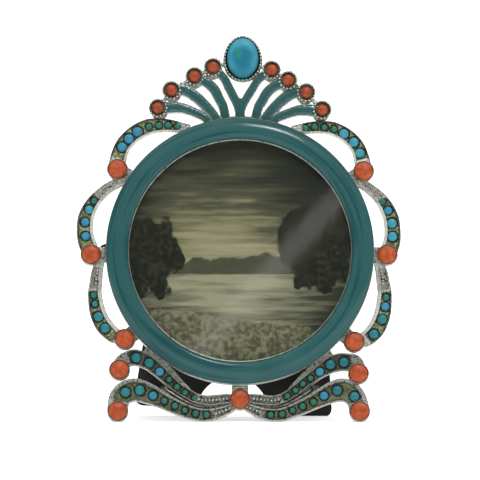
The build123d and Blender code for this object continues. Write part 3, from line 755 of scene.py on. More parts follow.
# %% Ribbons
ROUNDED = ((1.0, 1.6, 0.7), (0.8, 1.76, 0.4), (0.0, 1.8, 0.3), (-0.8, 1.76, 0.4), (-1.0, 1.6, 0.7))
RIDGES = ((1.0, 1.45, 0.9), (0.8, 1.66, 0.55), (0.6, 1.7, 0.4), (0.42, 1.36, 1.0), (0.24, 1.64, 0.55),
          (0.0, 1.72, 0.4), (-0.24, 1.62, 0.55), (-0.42, 1.34, 1.0), (-0.6, 1.64, 0.5), (-0.8, 1.68, 0.45),
          (-1.0, 1.45, 0.9))
# The ribbons' small edge share leaves their rail edges pale: a painted highlight.
RIBBONS = {
    "upper_ribbon": {
        "left": {
            "line": ((134.7, 8.0, 4.2), (133.5, 5.95, 3.6), (134.3, 4.4, 3.6), (135.9, 3.25, 3.7),
                     (140.5, 2.3, 3.3), (146.5, 2.4, 3.0), (151, 2.95, 2.75), (155, 3.55, 2.5),
                     (159.5, 4.05, 2.4), (163.5, 4.5, 2.35), (167.5, 4.4, 2.4), (171.5, 3.75, 2.4),
                     (176.5, 3.1, 2.2)),
            "web": ((136, 0.75, 2.0), (141, 0.55, 1.6), (146, 0.65, 1.6), (150, 0.95, 1.4),
                    (153, 1.35, 1.0), (156, 2.05, 0.7), (160, 3.0, 0.6)),
            "lead": 4.1, "gap": 1.0, "tints": (DEEP, DEEP, BLUE, GREEN, GREEN, GREEN, GREEN),
        },
        "right": {
            "line": ((136.1, 8.3, 4.2), (134.4, 5.95, 3.8), (136.0, 4.65, 4.0), (138.3, 3.35, 4.1),
                     (141.9, 2.55, 3.7), (146.6, 2.35, 3.0), (151, 2.6, 2.75), (155.2, 3.05, 2.5),
                     (159, 3.65, 2.4), (163.2, 4.35, 2.35), (167.5, 4.4, 2.4), (171.5, 3.75, 2.4),
                     (176.5, 3.1, 2.2)),
            "web": ((138, 0.75, 2.0), (142, 0.55, 1.6), (146, 0.6, 1.5), (150, 0.8, 1.3), (153, 1.1, 1.0),
                    (156, 1.65, 0.7), (160, 2.7, 0.6)),
            "lead": 4.0, "gap": 0.82, "tints": (DEEP, DEEP, BLUE, GREEN, GREEN, GREEN, GREEN),
        },
        "sizes": (LARGE, LARGE, MEDIUM, TINY, TINY, TINY, TINY),
        "ground": (3.3, 22.0), "rails": ((0.4, 0.4), (0.34, 0.34)), "dark": (0.45, 0.5), "edge": 0.35,
        "gilt": 0.25, "worn": 0.45, "beads": ((22.6, 31.0, 0.31, 0),), "hollow": 0.62, "flutes": ROUNDED,
    },
    "lower_ribbon": {
        "left": {
            "line": ((142.8, 15.4, 4.7), (141.8, 14.3, 4.7), (140.8, 12.5, 4.9), (141.3, 10.5, 5.2),
                     (143.7, 8.75, 5.15), (148.7, 7.9, 4.5), (153, 7.75, 3.75), (157.5, 7.8, 3.4),
                     (161.5, 7.9, 3.1), (165, 7.9, 2.95), (168.5, 7.6, 2.85), (172.5, 6.7, 2.6),
                     (176.5, 5.35, 2.0), (178.8, 4.2, 1.8)),
            "web": ((150, 5.0, 0.3), (152.5, 5.2, 1.4), (155, 5.35, 2.0), (160, 5.8, 1.9), (165, 6.0, 1.8),
                    (170, 5.5, 1.8), (176, 4.4, 1.8)),
            "lead": 3.9, "gap": 1.05, "tints": (TEAL, TEAL, BLUE, GREEN, GREEN, GREEN, GREEN, GREEN),
        },
        "right": {
            "line": ((143.4, 15.05, 4.7), (142.3, 13.2, 4.6), (141.9, 11.45, 4.9), (142.6, 9.6, 5.3),
                     (144.8, 8.3, 5.2), (149.4, 7.6, 4.4), (154, 7.55, 3.7), (158.5, 7.65, 3.4),
                     (162, 7.75, 3.1), (165.8, 7.9, 2.95), (169, 7.5, 2.8), (172.5, 6.7, 2.6),
                     (176.5, 5.35, 2.0), (178.8, 4.2, 1.8)),
            "web": ((150, 4.8, 0.3), (152.5, 5.0, 1.4), (155, 5.2, 2.0), (160, 5.7, 1.9), (165, 6.0, 1.8),
                    (170, 5.5, 1.8), (176, 4.4, 1.8)),
            "lead": 3.6, "gap": 1.05, "slips": (-1.1,),
            "tints": (TEAL, DEEP, BLUE, GREEN, GREEN, GREEN, GREEN, GREEN),
        },
        "sizes": (LARGE, LARGE, MEDIUM, SMALL, SMALL, TINY, SMALL, SMALL),
        "ground": (2.2, 26.0), "rails": ((1.1, 0.5), (0.4, 0.4)), "dark": (0.5, 0.6), "edge": 0.35,
        "gilt": 0.5, "worn": 0.45, "beads": ((26.8, 30.6, 0.31, 0),), "hollow": 0.62, "flutes": RIDGES,
    },
}
BANDS = {**ARMS, **RIBBONS}
print("bands:", ", ".join(BANDS), "with", sum(len(b["sizes"]) for b in BANDS.values()), "stones a side")

# %% [markdown]
# ## Cross-sections
#
# A lane is a small function of the row. Rails are rounded at the top. The ground drops below them where
# the stones are, and comes up nearly flush where the band is plain. The web beside the lower ribbon has
# fine ridges with dark flutes between them, so that the space between the ribbons reads as one fluted
# piece.

# %% Lanes of a band
BAND_TOP = 2.2
PLAIN_TOP, PLAIN_MIDDLE = BAND_TOP - 0.12, BAND_TOP - 0.1
FLOOR = 1.82
EASE = 0.8
THIN = 0.02


def of_side(pair, side):
    """The value for the left of a row, or for its right."""
    return pair[0 if side > 0 else 1]


def band_lanes(work):
    """Lanes of a band: back, side, rounded rail and sunk ground."""
    start, end = work["ground"]

    def sunk(row):
        """1 where the ground holds stones, 0 where it is plain, with a short ramp between."""
        return max(0.0, min(1.0, (row.walked - start) / EASE, (end - row.walked) / EASE))

    def plain_depth(row):
        """Plain stretches are bright, but dark between milgrain beads."""
        beaded = any(low <= row.walked <= high for low, high, *_ in work["beads"])
        return work["hollow"] if beaded else work["worn"]

    def rail(side, row):
        """Width of the rail, which changes along the ground."""
        first, last = of_side(work["rails"], side)
        return first + (last - first) * max(0.0, min(1.0, (row.walked - start) / (end - start)))

    # An edge lane takes only the edge share of the rail's darkness, so a small share paints a pale line along
    # the edge as a painted highlight.
    def edge(side, inset, height):
        dark = of_side(work["dark"], side) * work["edge"]
        return lambda row: (side * max(row.half - inset, THIN), height, dark * (0.4 + 0.6 * sunk(row)), 0.0)

    def rail_top(side, inset, height):
        dark = of_side(work["dark"], side)

        def lane(row):
            across = max(row.half - rail(side, row) + inset, THIN)
            return side * across, height, dark * sunk(row), 0.0

        return lane

    def ground(side, inset, drop, depth):
        def lane(row):
            deep, plain = sunk(row), plain_depth(row)
            across = max(row.half - rail(side, row) - inset, THIN)
            height = PLAIN_TOP - (PLAIN_TOP - drop) * deep
            return side * across, height, plain + (depth - plain) * deep, deep * work["gilt"]

        return lane

    def half(side):
        return [edge(side, 0.08, 0.0), edge(side, 0.0, 0.1), edge(side, 0.0, 1.85), edge(side, 0.06, 2.08),
                edge(side, 0.14, BAND_TOP), rail_top(side, 0.08, BAND_TOP), ground(side, 0.0, 2.02, 0.6),
                ground(side, 0.1, FLOOR, 0.78), ground(side, 0.4, FLOOR - 0.03, 0.97)]

    def middle(row):
        deep, plain = sunk(row), plain_depth(row)
        height = PLAIN_MIDDLE - (PLAIN_MIDDLE - FLOOR) * deep
        return 0.0, height, plain + (1 - plain) * deep, deep * work["gilt"]

    return half(1) + [middle] + half(-1)[::-1]


print("lanes in a band:", len(band_lanes(BANDS["upper_arm"])))

# %% Lanes of a web
def web_lanes(flutes):
    """Lanes of a web. Each flute gives (share of the half width, height, recess)."""
    def ridge(share, height, depth):
        return lambda row: (share * row.half, height, depth, 0.0)

    return [ridge(1.0, 0.0, 0.0), *[ridge(*flute) for flute in flutes], ridge(-1.0, 0.0, 0.0)]


print("lanes in a web:", len(web_lanes(ROUNDED)), "or", len(web_lanes(RIDGES)))

# %% [markdown]
# ## Setting the stones
#
# The stones are walked along the band: a bare lead, then stone after stone with an even gap. Every stone
# is a low dome in a collar painted dark as painted shade of the pit round it, and sits a hair off the
# collar's middle, as stones do that are set by hand. The tint goes into a colour attribute of the mesh, one
# colour for each stone.

# %% Places and collars
STONE_DRIFT = 0.25
ELSEWHERE = Vector((9, 9, 9))
COLLAR_RISE = 0.2


def stone_places(work, side, rows):
    """Place, drift off it, size and tint of each stone of a band."""
    walked = side["lead"]
    slips = side.get("slips", ())
    for i, (size, tint) in enumerate(zip(side.get("sizes", work["sizes"]), side["tints"])):
        walked += size / 2
        middle, left, _ = place_along(rows, walked + (slips[i] if i < len(slips) else 0.0))
        place = middle + left * side.get("off", 0.0)
        drift = Vector((noise.noise(place.to_3d()), noise.noise(place.to_3d() + ELSEWHERE))) * STONE_DRIFT
        yield place, drift, size, tint
        walked += size / 2 + side["gap"]


def collar(bm, place, size):
    """Raised ring round a stone, painted dark as painted shade of the pit round it."""
    half = size / 2
    # The high recess values on this raised ring paint it dark: painted shade of the pit round the stone.
    lathe(bm, [(half + 0.34, FLOOR - 0.1, 0.95), (half + 0.26, FLOOR + 0.1, 0.85),
               (half + 0.12, FLOOR + COLLAR_RISE, 0.75), (half + 0.02, FLOOR + 0.16, 1.0),
               (half - 0.06, FLOOR - 0.1, 1.0)], place, steps=24, closed=True)


print("collars rise", COLLAR_RISE, "mm above the ground")

# %% Milgrain and small stones
BEAD_STEP, BEAD_HEIGHT, BEADS_ASIDE = 2.6, BAND_TOP - 0.14, 0.25
STONE_FOOT, STONE_TOP = 1.16, FLOOR + 0.62
STONE_FIT = 0.96
TINT_SPREAD = 0.16


def milgrain(bm, rows, start, end, radius, apart):
    """Beads between the rails, in two rows, or in one where apart is 0."""
    walked = start
    while walked < min(end, rows[-1].walked):
        place, left, half = place_along(rows, walked)
        for side in ((-1, 1) if apart else (0,)):
            bead(bm, place + left * side * max(half - apart, BEADS_ASIDE), BEAD_HEIGHT, radius)
        walked += radius * BEAD_STEP


def small_stone(bm, place, size, tint):
    """Domed stone, tinted as a whole."""
    layer = bm.verts.layers.float_color.get("tint") or bm.verts.layers.float_color.new("tint")
    half = size / 2
    made = lathe(bm, [(0, STONE_FOOT), (half, STONE_FOOT), (half, FLOOR + 0.12), (half * 0.94, FLOOR + 0.3),
                      (half * 0.78, STONE_TOP - 0.16), (half * 0.5, STONE_TOP - 0.05), (0, STONE_TOP)],
                 place, steps=20)
    shift = noise.noise(Vector((*place, size))) * TINT_SPREAD
    for point in made:
        point[layer] = [max(0.0, c * (1 + shift)) for c in tint[:3]] + [1.0]


print("stones rise to", round(STONE_TOP, 2), "mm and the rails to", BAND_TOP)

# %% Bands with their stones
for name, work in BANDS.items():
    for hand in ("left", "right"):
        side = work[hand]
        rows = rows_along(side["line"])
        bm = start_piece()
        band(bm, rows, band_lanes(work))
        if "web" in side:
            band(bm, rows_along(side["web"]), web_lanes(work["flutes"]))
            cup(bm, at(*RIBBON_CUPS[hand][0 if name == "upper_ribbon" else 1]))
        for place, _, size, _ in stone_places(work, side, rows):
            collar(bm, place, size)
        for start, end, radius, apart in work["beads"]:
            milgrain(bm, rows, start, end, radius, apart)
        mirror_over(bm, hand)
        finish_piece(bm, f"{name}_scroll_{hand}", silver, [f"{name}_{hand}"])

        bm = start_piece()
        for place, drift, size, tint in stone_places(work, side, rows):
            small_stone(bm, place + drift, size * STONE_FIT, tint)
        mirror_over(bm, hand)
        finish_piece(bm, f"{name}_turquoise_{hand}", turquoise, [f"{name}_stones_{hand}"])
    print(name, "is", round(rows[-1].walked, 1), "mm long")

# %% [markdown]
# ## The crest
#
# Eight plumes fan out of the ring, each a shallow silver tray filled with enamel, and two of them join in
# a stem. At the end of every plume is a crown: a small cup with a toothed rim. The teeth are beads on the
# rim, which also suits the real thing, since they are worked with a beading tool. The plumes are drawn
# once, for the left, and then bent to each crown's own place, because no two were bent alike.

# %% Lines of the crest
PLUMES = (((28.5, 7.0, 2.5), (23.5, 5.65, 2.2), (20.5, 4.45, 1.95), (17.5, 2.95, 1.8), (15, 1.6, 1.7),
           (13, -0.1, 1.5)),
          ((20.5, 9.2, 2.7), (18, 7.85, 2.4), (16, 6.2, 2.3), (14, 4.35, 2.15), (12, 2.4, 2.05),
           (9.5, -0.1, 1.7)),
          ((13.5, 10.4, 2.15), (10.5, 8.65, 2.1), (8.5, 6.85, 2.05), (7.5, 4.9, 1.95), (6.5, 3, 1.8),
           (6, -0.1, 1.7)),
          ((7.8, 11.2, 1.4), (5.5, 9, 1.4), (4, 6.9, 1.5), (2.5, 4.95, 1.5), (1.1, 3.1, 1.4),
           (0.5, 1.4, 1.2)))
STEM = ((0, 4.6, 1.2), (0, 3.6, 2.0), (0, 2.4, 2.1), (0, 1.2, 2.2), (0, -0.1, 2.6))
PLUME_ENDS = ((30, 7.2), (22.5, 9.45), (15, 10.7), (9, 11.9))
LEFT_CROWNS = ((29.6, 7.27), (22.9, 9.57), (14.45, 10.93), (8.25, 12.14))
RIGHT_CROWNS = ((30, 6.92), (22.5, 8.92), (15.6, 10.2), (9.8, 11.7))
ROOT = ((15, 0.0, 0.5), (10, 0.1, 0.8), (0, 0.15, 0.9), (-10, 0.1, 0.8), (-15, 0.0, 0.5))
LEFT_BOWS = ((0.1, -0.25, 0.38), (-0.3, 0.18, 0.35), (0.6, -0.15, 0.4), (0.25, 0.0, 0.6))
RIGHT_BOWS = ((0.1, -0.5, 0.42), (-0.2, 0.12, 0.45), (0.5, -0.15, 0.4), (-0.25, 0.0, 0.5))
RIGHT_SWAY = 0.5
OVAL = (-0.8, 13.6)
ARM_LINK = (31.5, 3.6)


def reach_for(line, end, crown, bow, sway=0.0):
    """A plume's line bent to its crown and bowed by (degrees, gap, more width). Its root only sways."""
    last = len(line) - 1
    turn, lift, more = bow
    marks = []
    for i, (deg, gap, width) in enumerate(line):
        share = 1 - i / last
        bent = min(1.0, 2 * share)
        marks.append((deg + (crown[0] - end[0]) * share + turn * bent + sway * (1 - share),
                      gap + (crown[1] - end[1]) * share + lift * bent, width + more))
    return marks


def over_top(marks):
    """Mirror image of some marks, on the panel's right half."""
    return [(-mark[0], *mark[1:]) for mark in marks]


plume_lines = [STEM, ROOT]
for i, (line, end) in enumerate(zip(PLUMES, PLUME_ENDS)):
    sway = RIGHT_SWAY if line[-1][1] < 0 else 0.0
    plume_lines.append(reach_for(line, end, LEFT_CROWNS[i], LEFT_BOWS[i]))
    plume_lines.append(over_top(reach_for(line, end, RIGHT_CROWNS[i], RIGHT_BOWS[i], sway)))
crown_places = [at(*mark) for mark in [*LEFT_CROWNS, *over_top(RIGHT_CROWNS)]]
print("lines of the crest:", len(plume_lines), "and crowns:", len(crown_places))

# %% Trays, enamel and links
TRAY_TOP = 1.9
ENAMEL_INSET, ENAMEL_FOOT = 0.17, 1.45


def tray_lanes():
    """Lanes of a plume's silver tray."""
    def wall(side, inset, height, depth=0.0):
        return lambda row: (side * max(row.half - inset, THIN), height, depth, 0.0)

    def half(side):
        return [wall(side, 0.06, 0.0), wall(side, 0.0, 0.08), wall(side, 0.0, 1.72), wall(side, 0.05, 1.86),
                wall(side, 0.12, TRAY_TOP), wall(side, 0.2, 1.84), wall(side, 0.24, 1.5, 0.6)]

    return half(1) + half(-1)[::-1]


def enamel_lanes():
    """Lanes of the enamel that swells between a tray's edges."""
    def swell(share, height):
        return lambda row: (share * max(row.half - ENAMEL_INSET, THIN), height, 0.0, 0.0)

    rising = [(1.0, ENAMEL_FOOT), (1.0, 1.83), (0.86, 1.95), (0.6, 2.04), (0.3, 2.09)]
    falling = [(-share, height) for share, height in rising[::-1]]
    return [swell(*point) for point in (*rising, (0.0, 2.1), *falling)]


def rod(bm, start, end, radius, height):
    """Thin round link between two settings."""
    span = end - start
    turn = span.to_3d().to_track_quat("Z", "Y").to_matrix().to_4x4()
    middle = (start + end) / 2
    bmesh.ops.create_cone(bm, cap_ends=True, segments=10, radius1=radius, radius2=radius, depth=span.length,
                          matrix=Matrix.Translation((middle.x, middle.y, height)) @ turn)


print("lanes in a tray:", len(tray_lanes()), "and in its enamel:", len(enamel_lanes()))

# %% Plumes and crowns in silver
CROWN_SECTION = ((0, 0), (1.8, 0), (1.95, 0.3, 0.3), (2.02, 1.8, 0.55), (2.06, 2.2, 0.5), (1.98, 2.34, 0.5),
                 (1.74, 2.34, 0.8, 0.7), (1.66, 2.0, 0.95, 0.7), (1.5, 1.75, 0.95, 0.7), (0, 1.5, 0.95, 0.7))
CROWN_FOOT = ((0, 0), (1.9, 0), (1.98, 0.1), (1.98, 1.3, 0.2), (1.86, 1.5, 0.3), (1.6, 1.6, 0.4),
              (0, 1.6, 0.4))
FOOT_BACK = 0.75
TEETH, TOOTH, TOOTH_HEIGHT = 15, 0.28, 2.28
CROWN_RIM = 1.98
ROD, ROD_HEIGHT = 0.45, 0.8

bm = start_piece()
for line in plume_lines:
    band(bm, rows_along(line), tray_lanes())
for place in crown_places:
    lathe(bm, CROWN_SECTION, place.xy, steps=34)
    lathe(bm, CROWN_FOOT, (place - place.normalized() * FOOT_BACK).xy, steps=28)
    for i in range(TEETH):
        turn = tau * i / TEETH
        spot_on_rim = (place.x + CROWN_RIM * cos(turn), place.y + CROWN_RIM * sin(turn))
        bead(bm, spot_on_rim, TOOTH_HEIGHT, TOOTH)
for marks in ([ARM_LINK, *LEFT_CROWNS, OVAL], [*over_top([ARM_LINK, *RIGHT_CROWNS]), OVAL]):
    for start, end in zip(marks, marks[1:]):
        rod(bm, at(*start).xy, at(*end).xy, ROD, ROD_HEIGHT)
print("the crest has", len(bm.faces), "faces before its oval setting")

# %% [markdown]
# ## The oval setting
#
# The oval bezel is a round lathe shape squeezed across, point by point, so that its wall stays even. Fine
# beads run round its rim. It belongs to the crest's casting, so both become one piece.

# %% Oval bezel
OVAL_HALF_WIDTH, OVAL_HALF_HEIGHT = 3.5, 4.5
OVAL_SECTION = ((0, 0), (5.2, 0), (5.3, 0.2), (5.3, 2.0, 0.4), (5.24, 2.5, 0.5), (5.1, 2.72, 0.55),
                (4.9, 2.76, 0.55), (4.8, 2.7, 0.8), (4.72, 2.5, 1.0), (4.7, 1.6, 1.0), (0, 1.2, 1.0))
OVAL_BEADS, OVAL_BEAD_HEIGHT, RIM_OUT = 36, 2.74, 0.5
OVAL_BEAD, OVAL_BEAD_SPREAD, BEAD_WAVES = 0.29, 0.07, 1.7
EVEN_OUT = 0.06
EGG_WIDER, EGG_SLOPE = 0.1, 0.05
WALL_FROM = 0.9


def egg(across, along):
    """How much wider the bezel is here than a true oval: its foot is wider than its head."""
    return across * (EGG_WIDER - EGG_SLOPE * along) / OVAL_HALF_WIDTH


def squeeze(points, place, uneven=False):
    """Makes a round shape oval about a place, keeping its wall even, and egg-shaped if it is uneven."""
    slim = OVAL_HALF_HEIGHT - OVAL_HALF_WIDTH
    for point in points:
        across, along = point.co.x - place.x, point.co.y - place.y
        reach = hypot(across, along)
        if reach > OVAL_HALF_HEIGHT * WALL_FROM:
            across *= (reach - slim) / reach
        else:
            across *= OVAL_HALF_WIDTH / OVAL_HALF_HEIGHT
        point.co.x = place.x + across + (egg(across, along) if uneven else 0.0)


oval_place = at(*OVAL)
squeeze(lathe(bm, OVAL_SECTION, oval_place.xy, steps=64), oval_place, uneven=True)
rim_long, rim_wide = OVAL_HALF_HEIGHT + RIM_OUT, OVAL_HALF_WIDTH + RIM_OUT
for i in range(OVAL_BEADS):
    turn = tau * i / OVAL_BEADS
    turn -= EVEN_OUT * sin(2 * turn)
    across, along = rim_wide * cos(turn), rim_long * sin(turn)
    size = OVAL_BEAD + OVAL_BEAD_SPREAD * noise.noise(Vector((across, along, 0)) * BEAD_WAVES)
    bead(bm, (oval_place.x + across + egg(across, along), oval_place.y + along), OVAL_BEAD_HEIGHT, size)
finish_piece(bm, "crest_silver", silver, ["crest_casting"])

# %% Plume enamel and crest corals
CREST_CORAL_SECTION = ((0, 1.48), (1.24, 1.48), (1.27, 2.2), (1.2, 2.48), (1.02, 2.68), (0.7, 2.83),
                       (0.33, 2.89), (0, 2.9))

bm = start_piece()
for line in plume_lines:
    band(bm, rows_along(line), enamel_lanes())
finish_piece(bm, "plume_enamel_fill", plume_teal, ["crest_enamel"])

bm = start_piece()
for place in crown_places:
    coral_stone(bm, place, CREST_CORAL_SECTION, steps=28)
finish_piece(bm, "crest_coral_stones", crest_coral, ["crest_corals"])

# %% [markdown]
# ## The oval stone
#
# The stone is cut low, with a nearly flat table. Its finish is a darker blue in the middle and paler
# towards its rim, and has one green fleck. It is also painted paler at its head, a painted highlight, and
# darker at its foot, painted shade. So its finish asks how far each point lies from the stone's middle,
# and lays one soft mask after another over the blue.

# %% Oval stone
STONE_SECTION = ((0, 1.12), (4.58, 1.12), (4.6, 2.6), (4.54, 2.9), (4.34, 3.3), (4.0, 3.65), (3.5, 3.92),
                 (3.1, 4.02), (2.2, 4.1), (1.0, 4.16), (0, 4.18))
STONE_UP = 0.1

oval_blue, spot = start_finish("oval_turquoise")
u, v = panel_place(spot)
across, along = u - oval_place.x, v - oval_place.y
cloud = spot.grain(2.2 * MM, 3.0)
fleck = ((across + 0.95) * 1.5) ** 2.0 + ((along - 0.95) * 0.95) ** 2.0 + (cloud - 0.5) * 1.4
outward = (across * 0.3) ** 2.0 + (along * 0.23) ** 2.0 + (cloud - 0.5) * 0.5
oval_tint_and_painted_light = spot.mix(outward.rise(0.15, 0.75), paint(15, 97, 119), paint(47, 126, 144))
# Paler towards the head: a painted highlight.
oval_tint_and_painted_light = spot.mix(along.rise(1.5, 4.2) * 0.6, oval_tint_and_painted_light, paint(46, 140, 157))
# Darker towards the foot: painted shade.
oval_tint_and_painted_light = spot.mix((0 - along).rise(1.5, 3.6) * 0.7, oval_tint_and_painted_light, paint(18, 98, 117))
oval_tint_and_painted_light = spot.mix((1 - fleck.rise(0.0, 2.4)) * 0.8, oval_tint_and_painted_light, paint(34, 116, 94))
end_finish(spot, {
    "Base Color": oval_tint_and_painted_light,
    "Roughness": 0.36 + cloud * 0.1,
    "Specular IOR Level": 0.24,
})
bm = start_piece()
squeeze(lathe(bm, STONE_SECTION, (oval_place.x, oval_place.y + STONE_UP), steps=64),
        oval_place + Vector((0, STONE_UP, 0)))
finish_piece(bm, "oval_turquoise_stone", oval_blue, ["crest_oval_stone"], sharp=60)

# %% [markdown]
# ## The picture
#
# Behind the glass lies a small print. Here it is a plain evening landscape: a pale sky over water, with
# hills, trees and a light bank, all made of soft-edged masks over one another, the way a painter works
# from far to near. Age has darkened the whole of it.

# %% Print
AGED = 0.62
DISC_STEPS = 128
PRINT_SECTION = ((0, 1.86), (26.75, 1.86), (26.8, 1.9), (26.8, 2.06), (26.75, 2.1), (0, 2.1))

print_paint, spot = start_finish("landscape_print")
u, v = panel_place(spot)
wobble = spot.grain(5 * MM, 4.0) - 0.5
leaf = spot.grain(1.1 * MM, 4.0)
streak = spot.grain(3.0 * MM, 3.0, stretch=(0.25, 1.0, 2.2))
glow = (v + 4) * 0.024 + ((u + 5) ** 2.0) * 0.0009 + (streak - 0.5) * 0.7
picture = spot.make("ShaderNodeValToRGB", {"stops": [
    (0.0, paint(232, 222, 186)), (0.22, paint(196, 188, 146)), (0.42, paint(112, 112, 86)),
    (0.7, paint(56, 60, 48)), (1.0, paint(30, 33, 27))]}, {"Fac": glow.clamped()})
far_hills = 1 - (v - wobble * 5 - (u * 0.05)).rise(-1.6, -0.8)
picture = spot.mix(far_hills, picture, spot.mix(leaf, paint(82, 88, 68), paint(116, 116, 88)))
water = 1 - (v + wobble * 0.6).rise(-5.4, -5.0)
ripple = ((streak - 0.5) * 2.4 + ((u + 4) ** 2.0) * 0.0014 + (-7 - v) * 0.04).clamped()
picture = spot.mix(water, picture, spot.mix(ripple, paint(214, 210, 174), paint(72, 78, 62)))
right_tree = ((u - 18) * 0.115) ** 2.0 + ((v - 2) * 0.085) ** 2.0 + wobble * 2.2
left_tree = ((u + 21) * 0.13) ** 2.0 + ((v + 1) * 0.1) ** 2.0 + wobble * 2.0
near_trees = (1 - right_tree.rise(0.8, 0.95)) + (1 - left_tree.rise(0.8, 0.95))
leaves = spot.mix(leaf.rise(0.4, 0.72), paint(24, 27, 20), paint(70, 70, 46))
picture = spot.mix(near_trees.clamped(), picture, leaves)
bank = 1 - (v + (u * 0.12) + wobble * 5).rise(-16.0, -15.2)
picture = spot.mix(bank, picture, spot.mix(leaf.rise(0.35, 0.7), paint(112, 110, 80), paint(186, 184, 148)))
picture = spot.mix(AGED, picture, paint(18, 19, 13))
end_finish(spot, {"Base Color": picture, "Roughness": 0.55 + leaf * 0.1, "Specular IOR Level": 0.08})
bm = start_piece()
lathe(bm, PRINT_SECTION, steps=DISC_STEPS)
finish_piece(bm, "landscape_picture", print_paint, ["photo_print"])

# %% [markdown]
# ## The glass
#
# The glass is a clear pane that only mirrors: a mix of see-through and gloss keeps the print bright. Its
# share of gloss grows with the slant by Schlick's rule. A Fresnel node would turn the pane into a mirror
# from the side, because light that isn't bent on its way in meets the pane's far face at too flat an
# angle. The card behind the print keeps its CAD shape and only gets its finish.

# %% Glass and card
MIRROR_LEAST = 0.025
PANE_SECTION = ((0, 2.14), (26.6, 2.14), (26.8, 2.34), (26.8, 2.86), (26.6, 3.06), (0, 3.06))

glass, spot = start_finish("clear_glass")
clear = spot.make("ShaderNodeBsdfTransparent", None, {"Color": (0.97, 0.98, 0.97, 1.0)})
gloss = spot.make("ShaderNodeBsdfGlossy", None, {"Roughness": 0.04})
slant = spot.make("ShaderNodeLayerWeight", None, {"Blend": 0.5}, out="Facing")
mirror_share = slant ** 5.0 * (1 - MIRROR_LEAST) + MIRROR_LEAST
pane = spot.make("ShaderNodeMixShader", None, {0: mirror_share, 1: clear, 2: gloss})
spot.make("ShaderNodeOutputMaterial", None, {"Surface": pane})
bm = start_piece()
lathe(bm, PANE_SECTION, steps=DISC_STEPS)
finish_piece(bm, "glass_pane", glass, ["glass_disc"])

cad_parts["backing_card"].data.materials[0] = card
print("the card behind the print has the finish", card.name)

# %% [markdown]
# ## The easel back
#
# Plate, leg, clips, pin and rivets have their true shape in the CAD model already. A copy of each mesh is
# merged, because CAD meshes are loose triangles, its flat faces are joined again, and a Bevel modifier
# rounds the edges so that they catch the light. The leg is not quite true on its hinge, so its foot swings
# over by a little more than half a millimetre.

# %% Bevelled copies of the back's pieces
HINGE_UP = 12.0
LEG_SWING = 0.013
FLAT_WITHIN, ROUND_ABOVE = radians(0.6), radians(35)


def soften(node, name, material, body, width, swing=0.0):
    """Copy of a CAD node with rounded edges. Swing slants what is below the hinge to the right."""
    bm = bmesh.new()
    bm.from_mesh(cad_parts[node].data)
    bmesh.ops.transform(bm, matrix=PANEL.inverted(), verts=bm.verts)
    bmesh.ops.remove_doubles(bm, verts=bm.verts, dist=MERGE)
    bmesh.ops.dissolve_limit(bm, angle_limit=FLAT_WITHIN, verts=bm.verts, edges=bm.edges)
    for point in bm.verts:
        point.co.x += swing * max(0.0, HINGE_UP - point.co.y)
    piece = finish_piece(bm, name, material, [node], body, sharp=30)
    rounding = piece.modifiers.new("rounded_edges", "BEVEL")
    rounding.width = width * MM
    rounding.segments = 2
    rounding.limit_method = "ANGLE"
    rounding.angle_limit = ROUND_ABOVE
    rounding.harden_normals = True


soften("back_plate", "plate_black", black, "frame", 0.12)
soften("easel_leg", "leg_black", black, "leg", 0.2, swing=LEG_SWING)
soften("hinge_pin", "pin_steel", steel, "frame", 0.08)
soften("clip_rivets", "rivets_steel", steel, "frame", 0.1)
for name in ("left", "top", "bottom"):
    soften(f"turn_clip_{name}", f"clip_black_{name}", black, f"{name}_clip", 0.08)

# %% [markdown]
# ## The floor
#
# The photograph is a product shot on white, so the floor is pale. It glows a little, as a table of lit
# white glass does, so that only the faintest shadow is left on it. It belongs to the stage and not to the
# frame.

# %% Floor
FLOOR_REACH, FLOOR_GLOW = 4.0, 0.55


def grey(light):
    """Grey of this brightness, in a shader's light values."""
    return light, light, light, 1.0


bm = bmesh.new()
bmesh.ops.create_circle(bm, cap_ends=True, segments=64, radius=FLOOR_REACH)
floor_mesh = bpy.data.meshes.new("floor")
bm.to_mesh(floor_mesh)
bm.free()
floor_paint, spot = start_finish("pale_floor")
end_finish(spot, {"Base Color": grey(0.92), "Roughness": 1.0, "Specular IOR Level": 0.0,
                  "Emission Color": grey(1.0), "Emission Strength": FLOOR_GLOW})
floor_mesh.materials.append(floor_paint)
floor = bpy.data.objects.new("floor", floor_mesh)
bpy.context.scene.collection.objects.link(floor)
floor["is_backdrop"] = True
print("floor", FLOOR_REACH, "m all round")

# %% [markdown]
# ## Light
#
# The light is soft and comes from all round, with more of it from above. A larger lamp stands above, a
# little to the right, and its small bright core draws the highlight on the ring's dome. A third lamp is a
# narrow strip that stands where the glass mirrors it to the camera: it makes the pale slanting streak on
# the glass.

# %% Lamps
def softbox(name, place, size, power, aim=ring_centre):
    """Flat lamp that points at the ring, or at another aim."""
    lamp = bpy.data.lights.new(name, "AREA")
    lamp.shape = "RECTANGLE"
    lamp.size, lamp.size_y = size
    lamp.energy = power
    holder = bpy.data.objects.new(name, lamp)
    holder.location = place
    holder.rotation_euler = (aim - Vector(place)).to_track_quat("-Z", "Y").to_euler()
    holder.visible_camera = False
    bpy.context.scene.collection.objects.link(holder)
    return holder


KEY_UP, KEY_RIGHT, KEY_FAR = radians(44), radians(13), 0.8
KEY_SIZE, KEY_POWER = (0.2, 0.14), 2.3
CORE_SIZE, CORE_POWER, CORE_AHEAD = (0.05, 0.03), 0.45, 0.01
key_aim = OUT * cos(KEY_UP) + (UP * cos(KEY_RIGHT) + RIGHT * sin(KEY_RIGHT)) * sin(KEY_UP)
softbox("key", ring_centre + key_aim * KEY_FAR, KEY_SIZE, KEY_POWER)
softbox("key_core", ring_centre + key_aim * (KEY_FAR - CORE_AHEAD), CORE_SIZE, CORE_POWER)

